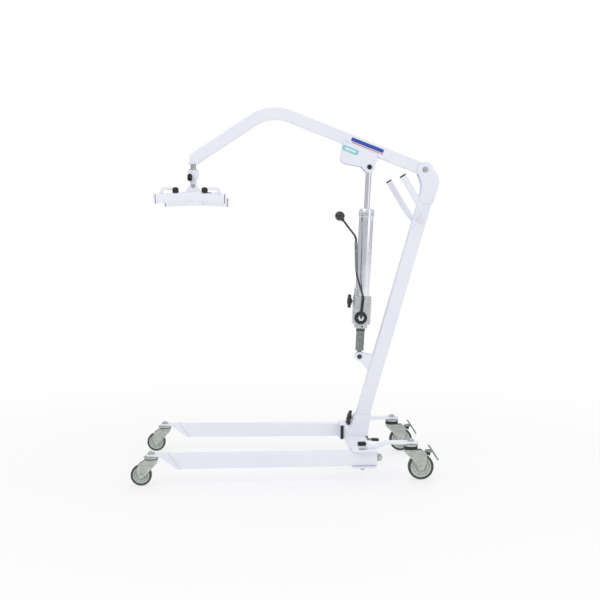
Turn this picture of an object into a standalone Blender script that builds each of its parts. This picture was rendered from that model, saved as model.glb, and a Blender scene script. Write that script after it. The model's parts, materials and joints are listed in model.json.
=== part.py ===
"""Patient lift hoist: a wheeled base with spreading legs, a leaning mast, a hydraulic ram and a boom
that carries a four-hook sling cradle. Front (patient side) is -X, the pushing side is +X, up is +Z.
All sizes are metres; the floor is z = 0 and the hoist is centred on the origin."""

from math import atan2, cos, pi, radians, sin, tan

import bmesh
import bpy
from mathutils import Matrix, Vector

MM = 0.001
GAP = 0.3 * MM  # clearance between two pieces that touch
RUN = 0.3 * MM  # radial clearance of a pin in its hole

# Casters
FRONT_WHEEL_R = 40 * MM
REAR_WHEEL_R = 50 * MM
FRONT_TRAIL = 38 * MM
REAR_TRAIL = 40 * MM
TYRE_HALF = 12 * MM
FORK_GAP = 13.2 * MM  # from the wheel's middle to a fork plate
FORK_PLATE = 3 * MM
AXLE_R = 5 * MM
STEM_R = 6 * MM
FRONT_HEAD_LOW = 2 * FRONT_WHEEL_R + 13 * MM
REAR_HEAD_LOW = 2 * REAR_WHEEL_R + 12 * MM

# Legs
FRONT_SWIVEL = 811 * MM  # in front of the leg pivot
LEG_TOP = FRONT_HEAD_LOW + 27 * MM
LEG_BOTTOM = LEG_TOP - 56 * MM
LEG_WIDTH = 40 * MM
LEG_WALL = 2.5 * MM
LEG_REAR = 54 * MM  # behind the pivot
LEG_CUT_HIGH = FRONT_SWIVEL - 68 * MM  # slanted front end, in front of the pivot
LEG_CUT_LOW = LEG_CUT_HIGH - 43 * MM
LEG_SPLAY = radians(1.5)
TIP_REACH = FRONT_SWIVEL + 18 * MM
TIP_THICK = 8 * MM
TIP_SLOPE_HIGH = FRONT_SWIVEL - 31 * MM
TIP_SLOPE_LOW = LEG_CUT_LOW + 13 * MM

# Base
PIVOT_X = 298 * MM  # leg pivot, along the hoist
PIVOT_Y = 290 * MM  # leg pivot, from the centre plane
PIVOT_BOLT_R = 8 * MM
BEAM_WALL = 4.4 * MM
BEAM_BOTTOM = LEG_BOTTOM - 2 * GAP - BEAM_WALL
BEAM_TOP = LEG_TOP + 2 * GAP + BEAM_WALL
LIP_STEP = 0.6 * MM  # the ends' lower lips sit this much above the middle's underside
BEAM_FRONT = PIVOT_X - 43 * MM
BEAM_REAR = PIVOT_X + 52 * MM
BEAM_HALF = PIVOT_Y + 41 * MM
WEB_HALF = PIVOT_Y - 66 * MM  # half width of the closed middle of the cross beam
MIDDLE_FRONT = PIVOT_X - 25 * MM
MIDDLE_REAR = PIVOT_X + 38 * MM

# Rear arms
REAR_SWIVEL_X = PIVOT_X + 190 * MM
REAR_SWIVEL_Y = PIVOT_Y - 24 * MM
ARM_WIDTH = 40 * MM
ARM_THICK = 10 * MM
ARM_LOW_Z = BEAM_TOP + GAP + ARM_THICK / 2
ARM_Z = REAR_HEAD_LOW + 34 * MM  # middle of the raised part
ARM_REAR = REAR_SWIVEL_X + 27 * MM
BRAKE_X = REAR_SWIVEL_X + 62 * MM
BRAKE_Z = 2 * REAR_WHEEL_R + 11 * MM

# Mast
MAST_LEAN = atan2(0.2887, 1.0)
MAST_X = 458.6 * MM  # the mast's centre line passes here at MAST_Z
MAST_Z = 662 * MM
MAST_DEPTH = 55 * MM
MAST_WIDTH = 42 * MM
MAST_WALL = 2.5 * MM
MAST_FOOT_Z = BEAM_TOP + 17 * MM
MAST_TOP_Z = 1165 * MM
SOCKET_TOP = BEAM_TOP + 88 * MM
MAST_KNOB_Z = BEAM_TOP + 59 * MM
MAST_KNOB_OUT = 16.5 * MM  # from the mast's front face to the knob
CHEEK = 5 * MM

# Boom
BOOM_PIVOT_X = 579.5 * MM
BOOM_PIVOT_Z = 1217 * MM
BOOM_HEIGHT = 48 * MM
BOOM_WIDTH = MAST_WIDTH - 2 * MM
BOOM_WALL = 2.5 * MM
BOOM_REAR_SLOPE = radians(21.2)
BOOM_FRONT_SLOPE = radians(33.5)
BOOM_CORNER_X = -51.2 * MM
BOOM_BEND_R = 170 * MM
BOOM_TIP_X = -366 * MM
BOOM_TAIL = 26 * MM
BOOM_PIN_R = 8 * MM

# Ram
RAM_LOW_X = 314 * MM
RAM_LOW_Z = 452 * MM
RAM_HIGH_X = 351 * MM
RAM_HIGH_Z = 1227 * MM
RAM_R = 29 * MM
RAM_TUBE_TOP = 607 * MM
RAM_TUBE_LOW = 251 * MM
BLOCK_LOW = 131 * MM
BLOCK_DEPTH = 2 * RAM_R + 14 * MM
BLOCK_WIDTH = 2 * RAM_R + 2 * MM
ROD_R = 12 * MM
RAM_EYE_R = 17 * MM
RAM_PIN_R = 7 * MM
EYE_HALF = 11 * MM
LEVER_Z = 161 * MM  # above the lower ram pivot, along the ram
LEVER_R = 6 * MM
BALL_R = 20 * MM

# Cradle
SWIVEL_X = -363.5 * MM
POST_R = 11 * MM
YOKE_TOP = 1213 * MM
YOKE_BOTTOM = 1178 * MM
TILT_Z = 1150 * MM
TILT_PIN_R = 6 * MM
TONGUE_HALF = 12 * MM
CRADLE_CHEEK = 5 * MM
BAR_Y = 228 * MM
BAR_HALF = 139 * MM
BAR_HEIGHT = 36 * MM
BAR_WIDTH = 22 * MM
BAR_Z = 1097.5 * MM  # middle of the side bar at its centre
BAR_DROP = 8 * MM  # how much lower its ends are
HOOK_R = 6 * MM
HOOK_OUT = 110 * MM
HOOK_IN = 71 * MM
HOOK_Z = 1129.5 * MM
STOP_X = 55 * MM

# Push handle
HANDLE_R = 12.7 * MM
HANDLE_HALF = 200 * MM
HANDLE_ARM = 192 * MM
HANDLE_LEAN = radians(31)
HANDLE_Z = 1015 * MM
HANDLE_BEND_R = 85 * MM

PLANE = {
    "X": Matrix(((0, 0, 1), (1, 0, 0), (0, 1, 0))),
    "Y": Matrix(((1, 0, 0), (0, 0, -1), (0, 1, 0))),
    "Z": Matrix(((1, 0, 0), (0, 1, 0), (0, 0, 1))),
}


# ---------------------------------------------------------------- shapes


def circle(radius, count=16, centre=(0, 0), start=0.0, end=2 * pi):
    """Points of a circle, or of an arc of it when start and end are given."""
    whole = abs(end - start) >= 2 * pi - 1e-9
    steps = count if whole else count - 1
    angles = [start + (end - start) * i / steps for i in range(count)]
    return [(centre[0] + radius * cos(a), centre[1] + radius * sin(a)) for a in angles]


def rounded(width, height, radius, count=3):
    """A rectangle with rounded corners, centred on the origin."""
    points = []
    for k, (sx, sy) in enumerate(((1, 1), (-1, 1), (-1, -1), (1, -1))):
        centre = (sx * (width / 2 - radius), sy * (height / 2 - radius))
        points += circle(radius, count, centre, k * pi / 2, (k + 1) * pi / 2)
    return points


def star(radius, depth, lobes, count):
    """A smooth star with round lobes."""
    points = []
    for i in range(count):
        a = 2 * pi * i / count
        r = radius - depth / 2 + depth / 2 * cos(lobes * a)
        points.append((r * cos(a), r * sin(a)))
    return points


def finish(bm):
    """A mesh from a bmesh, with its faces turned outwards."""
    bmesh.ops.recalc_face_normals(bm, faces=bm.faces)
    mesh = bpy.data.meshes.new("shape")
    bm.to_mesh(mesh)
    bm.free()
    return mesh


def skin(rings, inner=None):
    """A closed solid through rings of points; inner rings hollow it from end to end."""
    bm = bmesh.new()
    outer = [[bm.verts.new(p) for p in ring] for ring in rings]
    count = len(outer[0])
    for a, b in zip(outer, outer[1:]):
        for i in range(count):
            j = (i + 1) % count
            bm.faces.new((a[i], a[j], b[j], b[i]))
    if inner is None:
        bm.faces.new(reversed(outer[0]))
        bm.faces.new(outer[-1])
        return finish(bm)
    hollow = [[bm.verts.new(p) for p in ring] for ring in inner]
    for a, b in zip(hollow, hollow[1:]):
        for i in range(count):
            j = (i + 1) % count
            bm.faces.new((a[j], a[i], b[i], b[j]))
    for i in range(count):
        j = (i + 1) % count
        bm.faces.new((outer[0][j], outer[0][i], hollow[0][i], hollow[0][j]))
        bm.faces.new((outer[-1][i], outer[-1][j], hollow[-1][j], hollow[-1][i]))
    return finish(bm)


def rounded_path(points, radius, steps=6):
    """A path of straight runs whose corners are arcs."""
    path = [Vector(points[0])]
    for before, corner, after in zip(points, points[1:], points[2:]):
        before, corner, after = Vector(before), Vector(corner), Vector(after)
        back = (before - corner).normalized()
        on = (after - corner).normalized()
        half = back.angle(on) / 2
        centre = corner + (back + on).normalized() * radius / sin(half)
        start = corner + back * radius / tan(half)
        sweep_angle = pi - 2 * half
        arm = start - centre
        axis = arm.cross(-back).normalized()
        for i in range(steps + 1):
            path.append(centre + Matrix.Rotation(sweep_angle * i / steps, 3, axis) @ arm)
    path.append(Vector(points[-1]))
    return path


def sweep(path, profile, side, bore=None):
    """A profile of (across, up) points along a flat path; side is the path plane's normal."""
    side = Vector(side).normalized()
    rings, hollow = [], []
    for i, point in enumerate(path):
        a = (path[i] - path[i - 1]).normalized() if i else None
        b = (path[i + 1] - path[i]).normalized() if i + 1 < len(path) else None
        tangent = (a or b) + (b or a)
        tangent.normalize()
        up = side.cross(tangent)
        rings.append([point + side * u + up * v for u, v in profile])
        if bore:
            hollow.append([point + side * u + up * v for u, v in bore])
    return skin(rings, hollow if bore else None)


def lathe(profile, count=20, ring=False):
    """A profile of (radius, height) points turned about Z. A ring profile closes on itself."""
    bm = bmesh.new()
    rows = []
    for r, z in profile:
        if r < 1e-9:
            rows.append([bm.verts.new((0, 0, z))])
        else:
            rows.append([bm.verts.new((x, y, z)) for x, y in circle(r, count)])
    pairs = list(zip(rows, rows[1:]))
    if ring:
        pairs.append((rows[-1], rows[0]))
    for a, b in pairs:
        for i in range(count):
            j = (i + 1) % count
            if len(a) == 1:
                bm.faces.new((a[0], b[j], b[i]))
            elif len(b) == 1:
                bm.faces.new((a[i], a[j], b[0]))
            else:
                bm.faces.new((a[i], a[j], b[j], b[i]))
    return finish(bm)


def rod(radius, low, high, count=16, chamfer=0.0):
    """A round bar along Z with chamfered ends."""
    if chamfer:
        profile = [(0, low), (radius - chamfer, low), (radius, low + chamfer)]
        profile += [(radius, high - chamfer), (radius - chamfer, high), (0, high)]
    else:
        profile = [(0, low), (radius, low), (radius, high), (0, high)]
    return lathe(profile, count)


def prism(outline, low, high, axis):
    """An outline pushed along an axis: X takes (y, z), Y takes (x, z) and Z takes (x, y) points."""
    turn = PLANE[axis]
    if axis == "Y":
        low, high = -high, -low
    rings = [[turn @ Vector((a, b, c)) for a, b in outline] for c in (low, high)]
    return skin(rings)


def block(low, high):
    """A box from its low corner to its high corner."""
    outline = [(low[0], low[1]), (high[0], low[1]), (high[0], high[1]), (low[0], high[1])]
    return prism(outline, low[2], high[2], "Z")


def moved(mesh, offset=(0, 0, 0), turn=0.0, axis="Y"):
    """The mesh turned about an axis through the origin, then moved."""
    mesh.transform(Matrix.Translation(offset) @ Matrix.Rotation(turn, 4, axis))
    return mesh


def along_x(mesh, offset=(0, 0, 0)):
    """A shape made along Z, laid along +X."""
    return moved(mesh, offset, pi / 2, "Y")


def along_y(mesh, offset=(0, 0, 0)):
    """A shape made along Z, laid along -Y."""
    return moved(mesh, offset, pi / 2, "X")


def temporary(mesh):
    """An object that only lasts while a shape is being made."""
    thing = bpy.data.objects.new("temporary", mesh)
    bpy.context.scene.collection.objects.link(thing)
    return thing


def shaped(base, add=(), cut=()):
    """The base mesh with others joined to it and cutters taken from it."""
    result = base
    for operation, meshes in (("UNION", add), ("DIFFERENCE", cut)):
        for other in meshes:
            body = temporary(result)
            tool = temporary(other)
            step = body.modifiers.new("shape", "BOOLEAN")
            step.operation = operation
            step.solver = "EXACT"
            step.object = tool
            bpy.context.view_layer.update()
            graph = bpy.context.evaluated_depsgraph_get()
            result = bpy.data.meshes.new_from_object(body.evaluated_get(graph))
            bpy.data.objects.remove(body)
            bpy.data.objects.remove(tool)
    bm = bmesh.new()
    bm.from_mesh(result)
    bmesh.ops.remove_doubles(bm, verts=bm.verts, dist=0.00002)
    bmesh.ops.dissolve_degenerate(bm, edges=bm.edges, dist=0.00002)
    return finish(bm)


# ---------------------------------------------------------------- materials and objects


def paint(name, colour, roughness, metallic=0.0):
    """A plain coloured surface."""
    material = bpy.data.materials.new(name)
    material.use_nodes = True
    surface = material.node_tree.nodes["Principled BSDF"]
    surface.inputs["Base Color"].default_value = (*colour, 1.0)
    surface.inputs["Roughness"].default_value = roughness
    surface.inputs["Metallic"].default_value = metallic
    return material


def add(name, mesh, look, origin=(0, 0, 0), turn=(0, 0, 0), bevel=0.0):
    """A named piece whose mesh is already about its own origin."""
    colour, roughness, metallic = look
    mesh = mesh.copy()
    mesh.name = name
    piece = bpy.data.objects.new(name, mesh)
    bpy.context.scene.collection.objects.link(piece)
    mesh.materials.clear()
    mesh.materials.append(paint(name, colour, roughness, metallic))
    mesh.shade_smooth()
    mesh.set_sharp_from_angle(angle=radians(32))
    piece.location = origin
    piece.rotation_euler = turn
    if bevel:
        edge = piece.modifiers.new("edges", "BEVEL")
        edge.width = bevel
        edge.segments = 2
        edge.limit_method = "ANGLE"
        edge.angle_limit = radians(40)
    return piece


WHITE = ((0.86, 0.87, 0.90), 0.32, 0.0)
CHROME = ((0.72, 0.73, 0.74), 0.15, 1.0)
ZINC = ((0.50, 0.52, 0.50), 0.35, 1.0)
BLACK = ((0.02, 0.02, 0.02), 0.45, 0.0)
RUBBER = ((0.03, 0.03, 0.03), 0.75, 0.0)
TYRE = ((0.17, 0.18, 0.17), 0.7, 0.0)
HUB = ((0.42, 0.44, 0.42), 0.5, 0.0)
DARK_STEEL = ((0.16, 0.17, 0.18), 0.35, 0.8)

SIDES = (("near", -1), ("far", 1))


# ---------------------------------------------------------------- base


def cross_beam():
    """The cross beam: a closed middle whose ends open into clevises for the legs."""
    under = BEAM_BOTTOM + LIP_STEP
    lip_low = BEAM_BOTTOM + BEAM_WALL
    lip_high = BEAM_TOP - BEAM_WALL
    step = WEB_HALF - 2 * MM
    outline = [(-BEAM_HALF, under), (-step, under), (-step, BEAM_BOTTOM), (step, BEAM_BOTTOM)]
    outline += [(step, under), (BEAM_HALF, under), (BEAM_HALF, lip_low)]
    outline += [(WEB_HALF, lip_low), (WEB_HALF, lip_high), (BEAM_HALF, lip_high)]
    outline += [(BEAM_HALF, BEAM_TOP), (-BEAM_HALF, BEAM_TOP), (-BEAM_HALF, lip_high)]
    outline += [(-WEB_HALF, lip_high), (-WEB_HALF, lip_low), (-BEAM_HALF, lip_low)]
    body = prism(outline, BEAM_FRONT, BEAM_REAR, "X")
    cuts = []
    inset = WEB_HALF - 6 * MM
    deep = 20 * MM
    cuts.append(block((BEAM_FRONT - deep, -inset, 0), (MIDDLE_FRONT, inset, 2 * BEAM_TOP)))
    cuts.append(block((MIDDLE_REAR, -inset, 0), (BEAM_REAR + deep, inset, 2 * BEAM_TOP)))
    hollow_low = BEAM_BOTTOM + 2 * BEAM_WALL
    hollow_high = BEAM_TOP - 2 * BEAM_WALL
    wall = 4 * MM
    cuts.append(
        block(
            (MIDDLE_FRONT + wall, -WEB_HALF - deep, hollow_low),
            (MIDDLE_REAR - wall, WEB_HALF + deep, hollow_high),
        )
    )
    for _, side in SIDES:
        hole = rod(PIVOT_BOLT_R + RUN, 0, 2 * BEAM_TOP)
        cuts.append(moved(hole, (PIVOT_X, side * PIVOT_Y, 0)))
    body = shaped(body, cut=cuts)
    return moved(body, (-PIVOT_X, 0, -BEAM_BOTTOM))


def pivot_bolt():
    """A leg's pivot bolt, its low round head on top and its nut below; origin on its axis."""
    head_r = 13 * MM
    shank = PIVOT_BOLT_R
    low = BEAM_BOTTOM + LIP_STEP - GAP
    high = BEAM_TOP + GAP
    profile = [(0, low - 14 * MM), (9 * MM, low - 14 * MM), (10 * MM, low - 13 * MM)]
    profile += [(10 * MM, low - 3 * MM), (12.5 * MM, low - 3 * MM), (12.5 * MM, low), (shank, low)]
    profile += [(shank, high), (head_r, high), (head_r, high + 1.5 * MM)]
    profile += [(head_r - 4 * MM, high + 3.5 * MM), (0, high + 4 * MM)]
    return lathe(profile, 16)


def base():
    add("base_cross_beam", cross_beam(), WHITE, (PIVOT_X, 0, BEAM_BOTTOM))
    bolt = pivot_bolt()
    cap = rounded(34 * MM, 15 * MM, 7 * MM, 5)
    cap_mesh = prism(cap, -9 * MM, 9 * MM, "Y")
    for name, side in SIDES:
        add(f"leg_pivot_bolt_{name}", bolt, ZINC, (PIVOT_X, side * PIVOT_Y, 0))
        spot = (PIVOT_X + 4 * MM, side * (WEB_HALF - 3 * MM), BEAM_TOP + GAP + 7.5 * MM)
        add(f"beam_cap_{name}", cap_mesh, BLACK, spot, bevel=1.2 * MM)


def rear_arms():
    """Flat bars that climb from the cross beam's ends and carry the rear casters."""
    front = BEAM_REAR - 34 * MM
    step_start = BEAM_REAR + 4 * MM
    step_end = BEAM_REAR + 44 * MM
    path = [(front, 0, ARM_LOW_Z), (step_start, 0, ARM_LOW_Z)]
    path += [(step_end, 0, ARM_Z), (ARM_REAR, 0, ARM_Z)]
    profile = rounded(ARM_WIDTH, ARM_THICK, 2 * MM, 2)
    bar = sweep(rounded_path(path, 30 * MM, 4), profile, (0, 1, 0))
    hole = moved(rod(STEM_R + RUN, 0, 2 * ARM_Z), (REAR_SWIVEL_X, 0, 0))
    bar = moved(shaped(bar, cut=[hole]), (-REAR_SWIVEL_X, 0, -ARM_Z))
    for name, side in SIDES:
        add(f"rear_arm_{name}", bar, WHITE, (REAR_SWIVEL_X, side * REAR_SWIVEL_Y, ARM_Z))


# ---------------------------------------------------------------- legs


def leg_tube():
    """A rectangular tube along -X from behind its pivot, closed at the rear, slanted at the front."""
    height = LEG_TOP - LEG_BOTTOM
    middle = (LEG_TOP + LEG_BOTTOM) / 2

    def ring(profile, slanted, x=0.0):
        points = []
        for y, z in profile:
            share = (z + height / 2) / height
            cut = -(LEG_CUT_LOW + (LEG_CUT_HIGH - LEG_CUT_LOW) * share)
            points.append(Vector((cut if slanted else x, y, middle + z)))
        return points

    outside = rounded(LEG_WIDTH, height, 5 * MM, 4)
    inside = rounded(LEG_WIDTH - 2 * LEG_WALL, height - 2 * LEG_WALL, 3 * MM, 4)
    body = skin([ring(outside, False, LEG_REAR), ring(outside, True)])
    bore = [ring(inside, False, LEG_REAR - LEG_WALL), ring(inside, True)]
    for point in bore[1]:
        point.x -= 40 * MM
    hole = rod(PIVOT_BOLT_R + RUN, 0, 2 * LEG_TOP)
    return shaped(body, cut=[skin(bore), hole])


def leg_tip():
    """The folded end plate: flat on top for the caster, then sloping down to close the tube."""
    low = LEG_BOTTOM - 1 * MM
    outline = [(-TIP_REACH, LEG_TOP), (-TIP_REACH, LEG_TOP - TIP_THICK)]
    outline += [(-TIP_SLOPE_HIGH, LEG_TOP - TIP_THICK), (-TIP_SLOPE_LOW, low)]
    outline += [(-LEG_CUT_LOW - GAP - 0.8 * MM, low), (-LEG_CUT_HIGH - GAP, LEG_TOP)]
    half = LEG_WIDTH / 2
    body = prism(outline, -half, half, "Y")
    hole = moved(rod(STEM_R + RUN, 0, 2 * LEG_TOP), (-FRONT_SWIVEL, 0, 0))
    return shaped(body, cut=[hole])


def leg_end_bolt():
    """The washer and hexagonal head on a leg's rear end."""
    washer = rod(17 * MM, 0, 5 * MM, 20)
    head = lathe([(0, 4 * MM), (15 * MM, 4 * MM), (15 * MM, 18 * MM), (13 * MM, 21 * MM), (0, 21 * MM)], 6)
    return along_x(shaped(washer, add=[head]))


def legs():
    tube = leg_tube()
    tip = leg_tip()
    bolt = leg_end_bolt()
    middle = (LEG_TOP + LEG_BOTTOM) / 2
    for name, side in SIDES:
        pivot = (PIVOT_X, side * PIVOT_Y, 0)
        turn = (0, 0, -side * LEG_SPLAY)
        add(f"leg_{name}", tube, WHITE, pivot, turn)
        add(f"leg_tip_{name}", tip, WHITE, pivot, turn)
        reach = LEG_REAR + GAP
        spot = (PIVOT_X + reach * cos(LEG_SPLAY), side * (PIVOT_Y - reach * sin(LEG_SPLAY)), middle)
        add(f"leg_end_bolt_{name}", bolt, ZINC, spot, turn)


# ---------------------------------------------------------------- casters


def fork(plate, head_low, head_high, head_r, trail, axle_z, stem_top, nut_r):
    """A caster fork with its head, stem and nut, about the swivel axis; the wheel trails to +X."""
    race = [(0, head_low), (head_r - 5 * MM, head_low), (head_r - 3 * MM, head_low + 3 * MM)]
    race += [(head_r - 3 * MM, head_high - 8 * MM), (head_r, head_high - 7 * MM)]
    race += [(head_r, head_high - 1 * MM), (head_r - 1 * MM, head_high), (STEM_R, head_high)]
    race += [(STEM_R, stem_top), (nut_r, stem_top), (nut_r, stem_top + 3 * MM)]
    race += [(nut_r * 0.62, stem_top + 8 * MM), (nut_r * 0.3, stem_top + 10.5 * MM), (0, stem_top + 11 * MM)]
    body = lathe(race, 20)
    outer = FORK_GAP + FORK_PLATE
    axle = along_y(rod(AXLE_R, -outer - 5 * MM, outer + 5 * MM, 12, 0.8 * MM), (trail, 0, axle_z))
    parts = [prism(plate, FORK_GAP, outer, "Y"), prism(plate, -outer, -FORK_GAP, "Y"), axle]
    for side in (-1, 1):
        flange = rod(8.5 * MM, -1.6 * MM, 1.6 * MM, 12)
        parts.append(along_y(flange, (trail, side * (outer + 1.2 * MM), axle_z)))
    return shaped(body, add=parts)


def front_plate():
    """Side of a front fork, about the swivel axis."""
    high = FRONT_HEAD_LOW + 5 * MM
    outline = [(-20 * MM, high), (-24 * MM, high - 9 * MM), (18 * MM, 42 * MM)]
    outline += circle(12 * MM, 7, (FRONT_TRAIL, FRONT_WHEEL_R), radians(190), radians(350))
    outline += [(56 * MM, 62 * MM), (46 * MM, 84 * MM), (23 * MM, high)]
    return outline


def rear_plate():
    """Side of a rear fork, about the swivel axis: a leaf that covers the wheel's upper quarter."""
    high = REAR_HEAD_LOW + 6 * MM
    outline = [(-22 * MM, high), (-25 * MM, high - 8 * MM), (3 * MM, 82 * MM), (22 * MM, 56 * MM)]
    outline += circle(14 * MM, 7, (REAR_TRAIL, REAR_WHEEL_R), radians(200), radians(350))
    outline += [(64 * MM, 82 * MM), (60 * MM, 104 * MM), (44 * MM, 117 * MM), (24 * MM, high)]
    return outline


def tyre(radius, rim):
    """A soft tyre about Z, with rounded shoulders."""
    half = TYRE_HALF
    profile = [(rim, -half + 1 * MM), (radius - 5 * MM, -half)]
    profile += [(radius - 1.5 * MM, -half + 2 * MM), (radius, -half + 5 * MM)]
    profile += [(r, -z) for r, z in reversed(profile)]
    return along_y(lathe(profile, 28, ring=True))


def hub(rim):
    """A wheel centre about Z with a rim, a dished web and a boss around the axle."""
    bore = AXLE_R + RUN
    boss_half = FORK_GAP - 0.5 * MM
    side = [(bore, -boss_half), (11 * MM, -boss_half), (13 * MM, -6 * MM)]
    side += [(rim - 8 * MM, -6 * MM), (rim - 5 * MM, -10 * MM), (rim - GAP, -10 * MM)]
    profile = side + [(r, -z) for r, z in reversed(side)]
    return along_y(lathe(profile, 28, ring=True))


def brake_pedal():
    """A two-tab foot lever with its brake shoe, about its own pivot between the fork's plates."""
    half = FORK_GAP - 1.0 * MM
    lever = [(5 * MM, 22 * MM), (11.5 * MM, 23 * MM), (28 * MM, -2 * MM), (48 * MM, -34 * MM)]
    lever += [(43 * MM, -37 * MM), (22.5 * MM, -4 * MM)]
    web = [(-2 * MM, 5 * MM), (-6 * MM, 0), (-4 * MM, -4.5 * MM), (1 * MM, -5.5 * MM)]
    web += [(25 * MM, -5 * MM), (26 * MM, 0), (20 * MM, 5 * MM)]
    shoe = [(-1 * MM, -4 * MM), (-3 * MM, -12 * MM), (13 * MM, -18 * MM), (15 * MM, -4 * MM)]
    parts = [prism(web, -half + 4 * MM, half - 4 * MM, "Y"), prism(shoe, -half + 2 * MM, half - 2 * MM, "Y")]
    return shaped(prism(lever, -half, half, "Y"), add=parts)


def casters():
    front_rim = FRONT_WHEEL_R - 8 * MM
    rear_rim = REAR_WHEEL_R - 9 * MM
    front_top = LEG_TOP - TIP_THICK - GAP
    rear_top = ARM_Z - ARM_THICK / 2 - GAP
    front_fork = fork(
        front_plate(), FRONT_HEAD_LOW, front_top, 28 * MM, FRONT_TRAIL, FRONT_WHEEL_R,
        LEG_TOP + GAP, 14 * MM,
    )
    rear_fork = fork(
        rear_plate(), REAR_HEAD_LOW, rear_top, 29 * MM, REAR_TRAIL, REAR_WHEEL_R,
        ARM_Z + ARM_THICK / 2 + GAP, 13 * MM,
    )
    front_tyre, front_hub = tyre(FRONT_WHEEL_R, front_rim), hub(front_rim)
    rear_tyre, rear_hub = tyre(REAR_WHEEL_R, rear_rim), hub(rear_rim)
    pedal = brake_pedal()
    for name, side in SIDES:
        swing = FRONT_SWIVEL
        x = PIVOT_X - swing * cos(LEG_SPLAY)
        y = side * (PIVOT_Y + swing * sin(LEG_SPLAY))
        heading = pi
        add(f"front_fork_{name}", front_fork, ZINC, (x, y, 0), (0, 0, heading))
        spot = (x - FRONT_TRAIL, y, FRONT_WHEEL_R)
        add(f"front_hub_{name}", front_hub, HUB, spot)
        add(f"front_tyre_{name}", front_tyre, TYRE, spot)
        y = side * REAR_SWIVEL_Y
        add(f"rear_fork_{name}", rear_fork, ZINC, (REAR_SWIVEL_X, y, 0))
        spot = (REAR_SWIVEL_X + REAR_TRAIL, y, REAR_WHEEL_R)
        add(f"rear_hub_{name}", rear_hub, HUB, spot)
        add(f"rear_tyre_{name}", rear_tyre, TYRE, spot)
        add(f"brake_pedal_{name}", pedal, DARK_STEEL, (BRAKE_X, y, BRAKE_Z))


# ---------------------------------------------------------------- mast


def mast_x(z):
    """The mast's centre line at a height."""
    return MAST_X + (z - MAST_Z) * tan(MAST_LEAN)


def on_mast(mesh, along=0.0, out=0.0):
    """Stands a shape made about the mast's own axis on the mast line, with z = 0 at MAST_Z."""
    lean = Matrix.Rotation(MAST_LEAN, 4, "Y")
    mesh.transform(Matrix.Translation((MAST_X, 0, MAST_Z)) @ lean @ Matrix.Translation((out, 0, along)))
    return mesh


def mast_span(z):
    """Distance along the mast from MAST_Z to the centre line's point at a height."""
    return (z - MAST_Z) / cos(MAST_LEAN)


def mast_foot():
    """The socket that holds the mast: a tapered block with the mast's bore and a boss for the knob."""
    half = MAST_WIDTH / 2 + 6 * MM
    floor = BEAM_TOP + GAP
    front_top = mast_x(SOCKET_TOP) - MAST_DEPTH / 2 / cos(MAST_LEAN) - 5 * MM
    rear_top = mast_x(SOCKET_TOP) + MAST_DEPTH / 2 / cos(MAST_LEAN) + 5 * MM
    outline = [(MIDDLE_FRONT - 2 * MM, floor), (MIDDLE_REAR + 12 * MM, floor)]
    outline += [(MIDDLE_REAR + 16 * MM, floor + 30 * MM), (rear_top, SOCKET_TOP), (front_top, SOCKET_TOP)]
    outline += [(front_top - 14 * MM, floor + 42 * MM), (MIDDLE_FRONT - 4 * MM, floor + 12 * MM)]
    body = prism(outline, -half, half, "Y")
    boss_length = MAST_KNOB_OUT - 6.5 * MM
    face = -MAST_DEPTH / 2
    boss = moved(rod(21 * MM, 0, boss_length, 20, 1.5 * MM), (face + 2 * MM, 0, 0), -pi / 2, "Y")
    hole = moved(rod(5 * MM + RUN, -12 * MM, 60 * MM, 16), (face, 0, 0), -pi / 2, "Y")
    knob = mast_span(MAST_KNOB_Z)
    boss = on_mast(boss, knob - 6 * MM)
    hole = on_mast(hole, knob)
    bore = rounded(MAST_WIDTH + 2 * GAP, MAST_DEPTH + 2 * GAP, 5 * MM, 4)
    low, high = mast_span(MAST_FOOT_Z) - GAP, mast_span(SOCKET_TOP + 60 * MM)
    cavity = on_mast(prism([(b, a) for a, b in bore], low, high, "Z"))
    body = shaped(body, add=[boss], cut=[cavity, hole])
    return moved(body, (-PIVOT_X, 0, -floor))


def star_knob(radius, thick, shank_r, shank):
    """A star-shaped hand knob facing +Z with its threaded shank pointing down."""
    face = prism(star(radius, 8 * MM, 6, 36), 0, thick, "Z")
    raised = rod(radius * 0.5, thick - 1 * MM, thick + 2.5 * MM, 16)
    neck = rod(radius * 0.38, -4 * MM, 1 * MM, 12)
    screw = rod(shank_r, -shank, 2 * MM, 12)
    return shaped(face, add=[raised, neck, screw])


def mast():
    bore = rounded(MAST_WIDTH - 2 * MAST_WALL, MAST_DEPTH - 2 * MAST_WALL, 3 * MM, 4)
    outside = rounded(MAST_WIDTH, MAST_DEPTH, 5 * MM, 4)
    low, high = mast_span(MAST_FOOT_Z), mast_span(MAST_TOP_Z)
    rings = [[Vector((b, a, z)) for a, b in outside] for z in (low, high)]
    hollow = [[Vector((b, a, z)) for a, b in bore] for z in (low, high)]
    tube = skin(rings, hollow)
    hole = moved(rod(HANDLE_R + RUN, -0.1, 0.1, 14), (0, 0, mast_span(HANDLE_Z)), pi / 2, "X")
    tube = shaped(tube, cut=[hole])
    tube = moved(tube, (0, 0, -low))
    foot = (mast_x(MAST_FOOT_Z), 0, MAST_FOOT_Z)
    add("mast_tube", tube, WHITE, foot, (0, MAST_LEAN, 0))

    add("mast_foot", mast_foot(), WHITE, (PIVOT_X, 0, BEAM_TOP + GAP))
    knob = star_knob(29 * MM, 13 * MM, 5 * MM, MAST_KNOB_OUT - GAP)
    span = mast_span(MAST_KNOB_Z)
    out = MAST_DEPTH / 2 + MAST_KNOB_OUT
    centre = (
        MAST_X + span * sin(MAST_LEAN) - out * cos(MAST_LEAN),
        0,
        MAST_Z + span * cos(MAST_LEAN) + out * sin(MAST_LEAN),
    )
    add("mast_star_knob", knob, BLACK, centre, (0, MAST_LEAN - pi / 2, 0))


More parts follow.
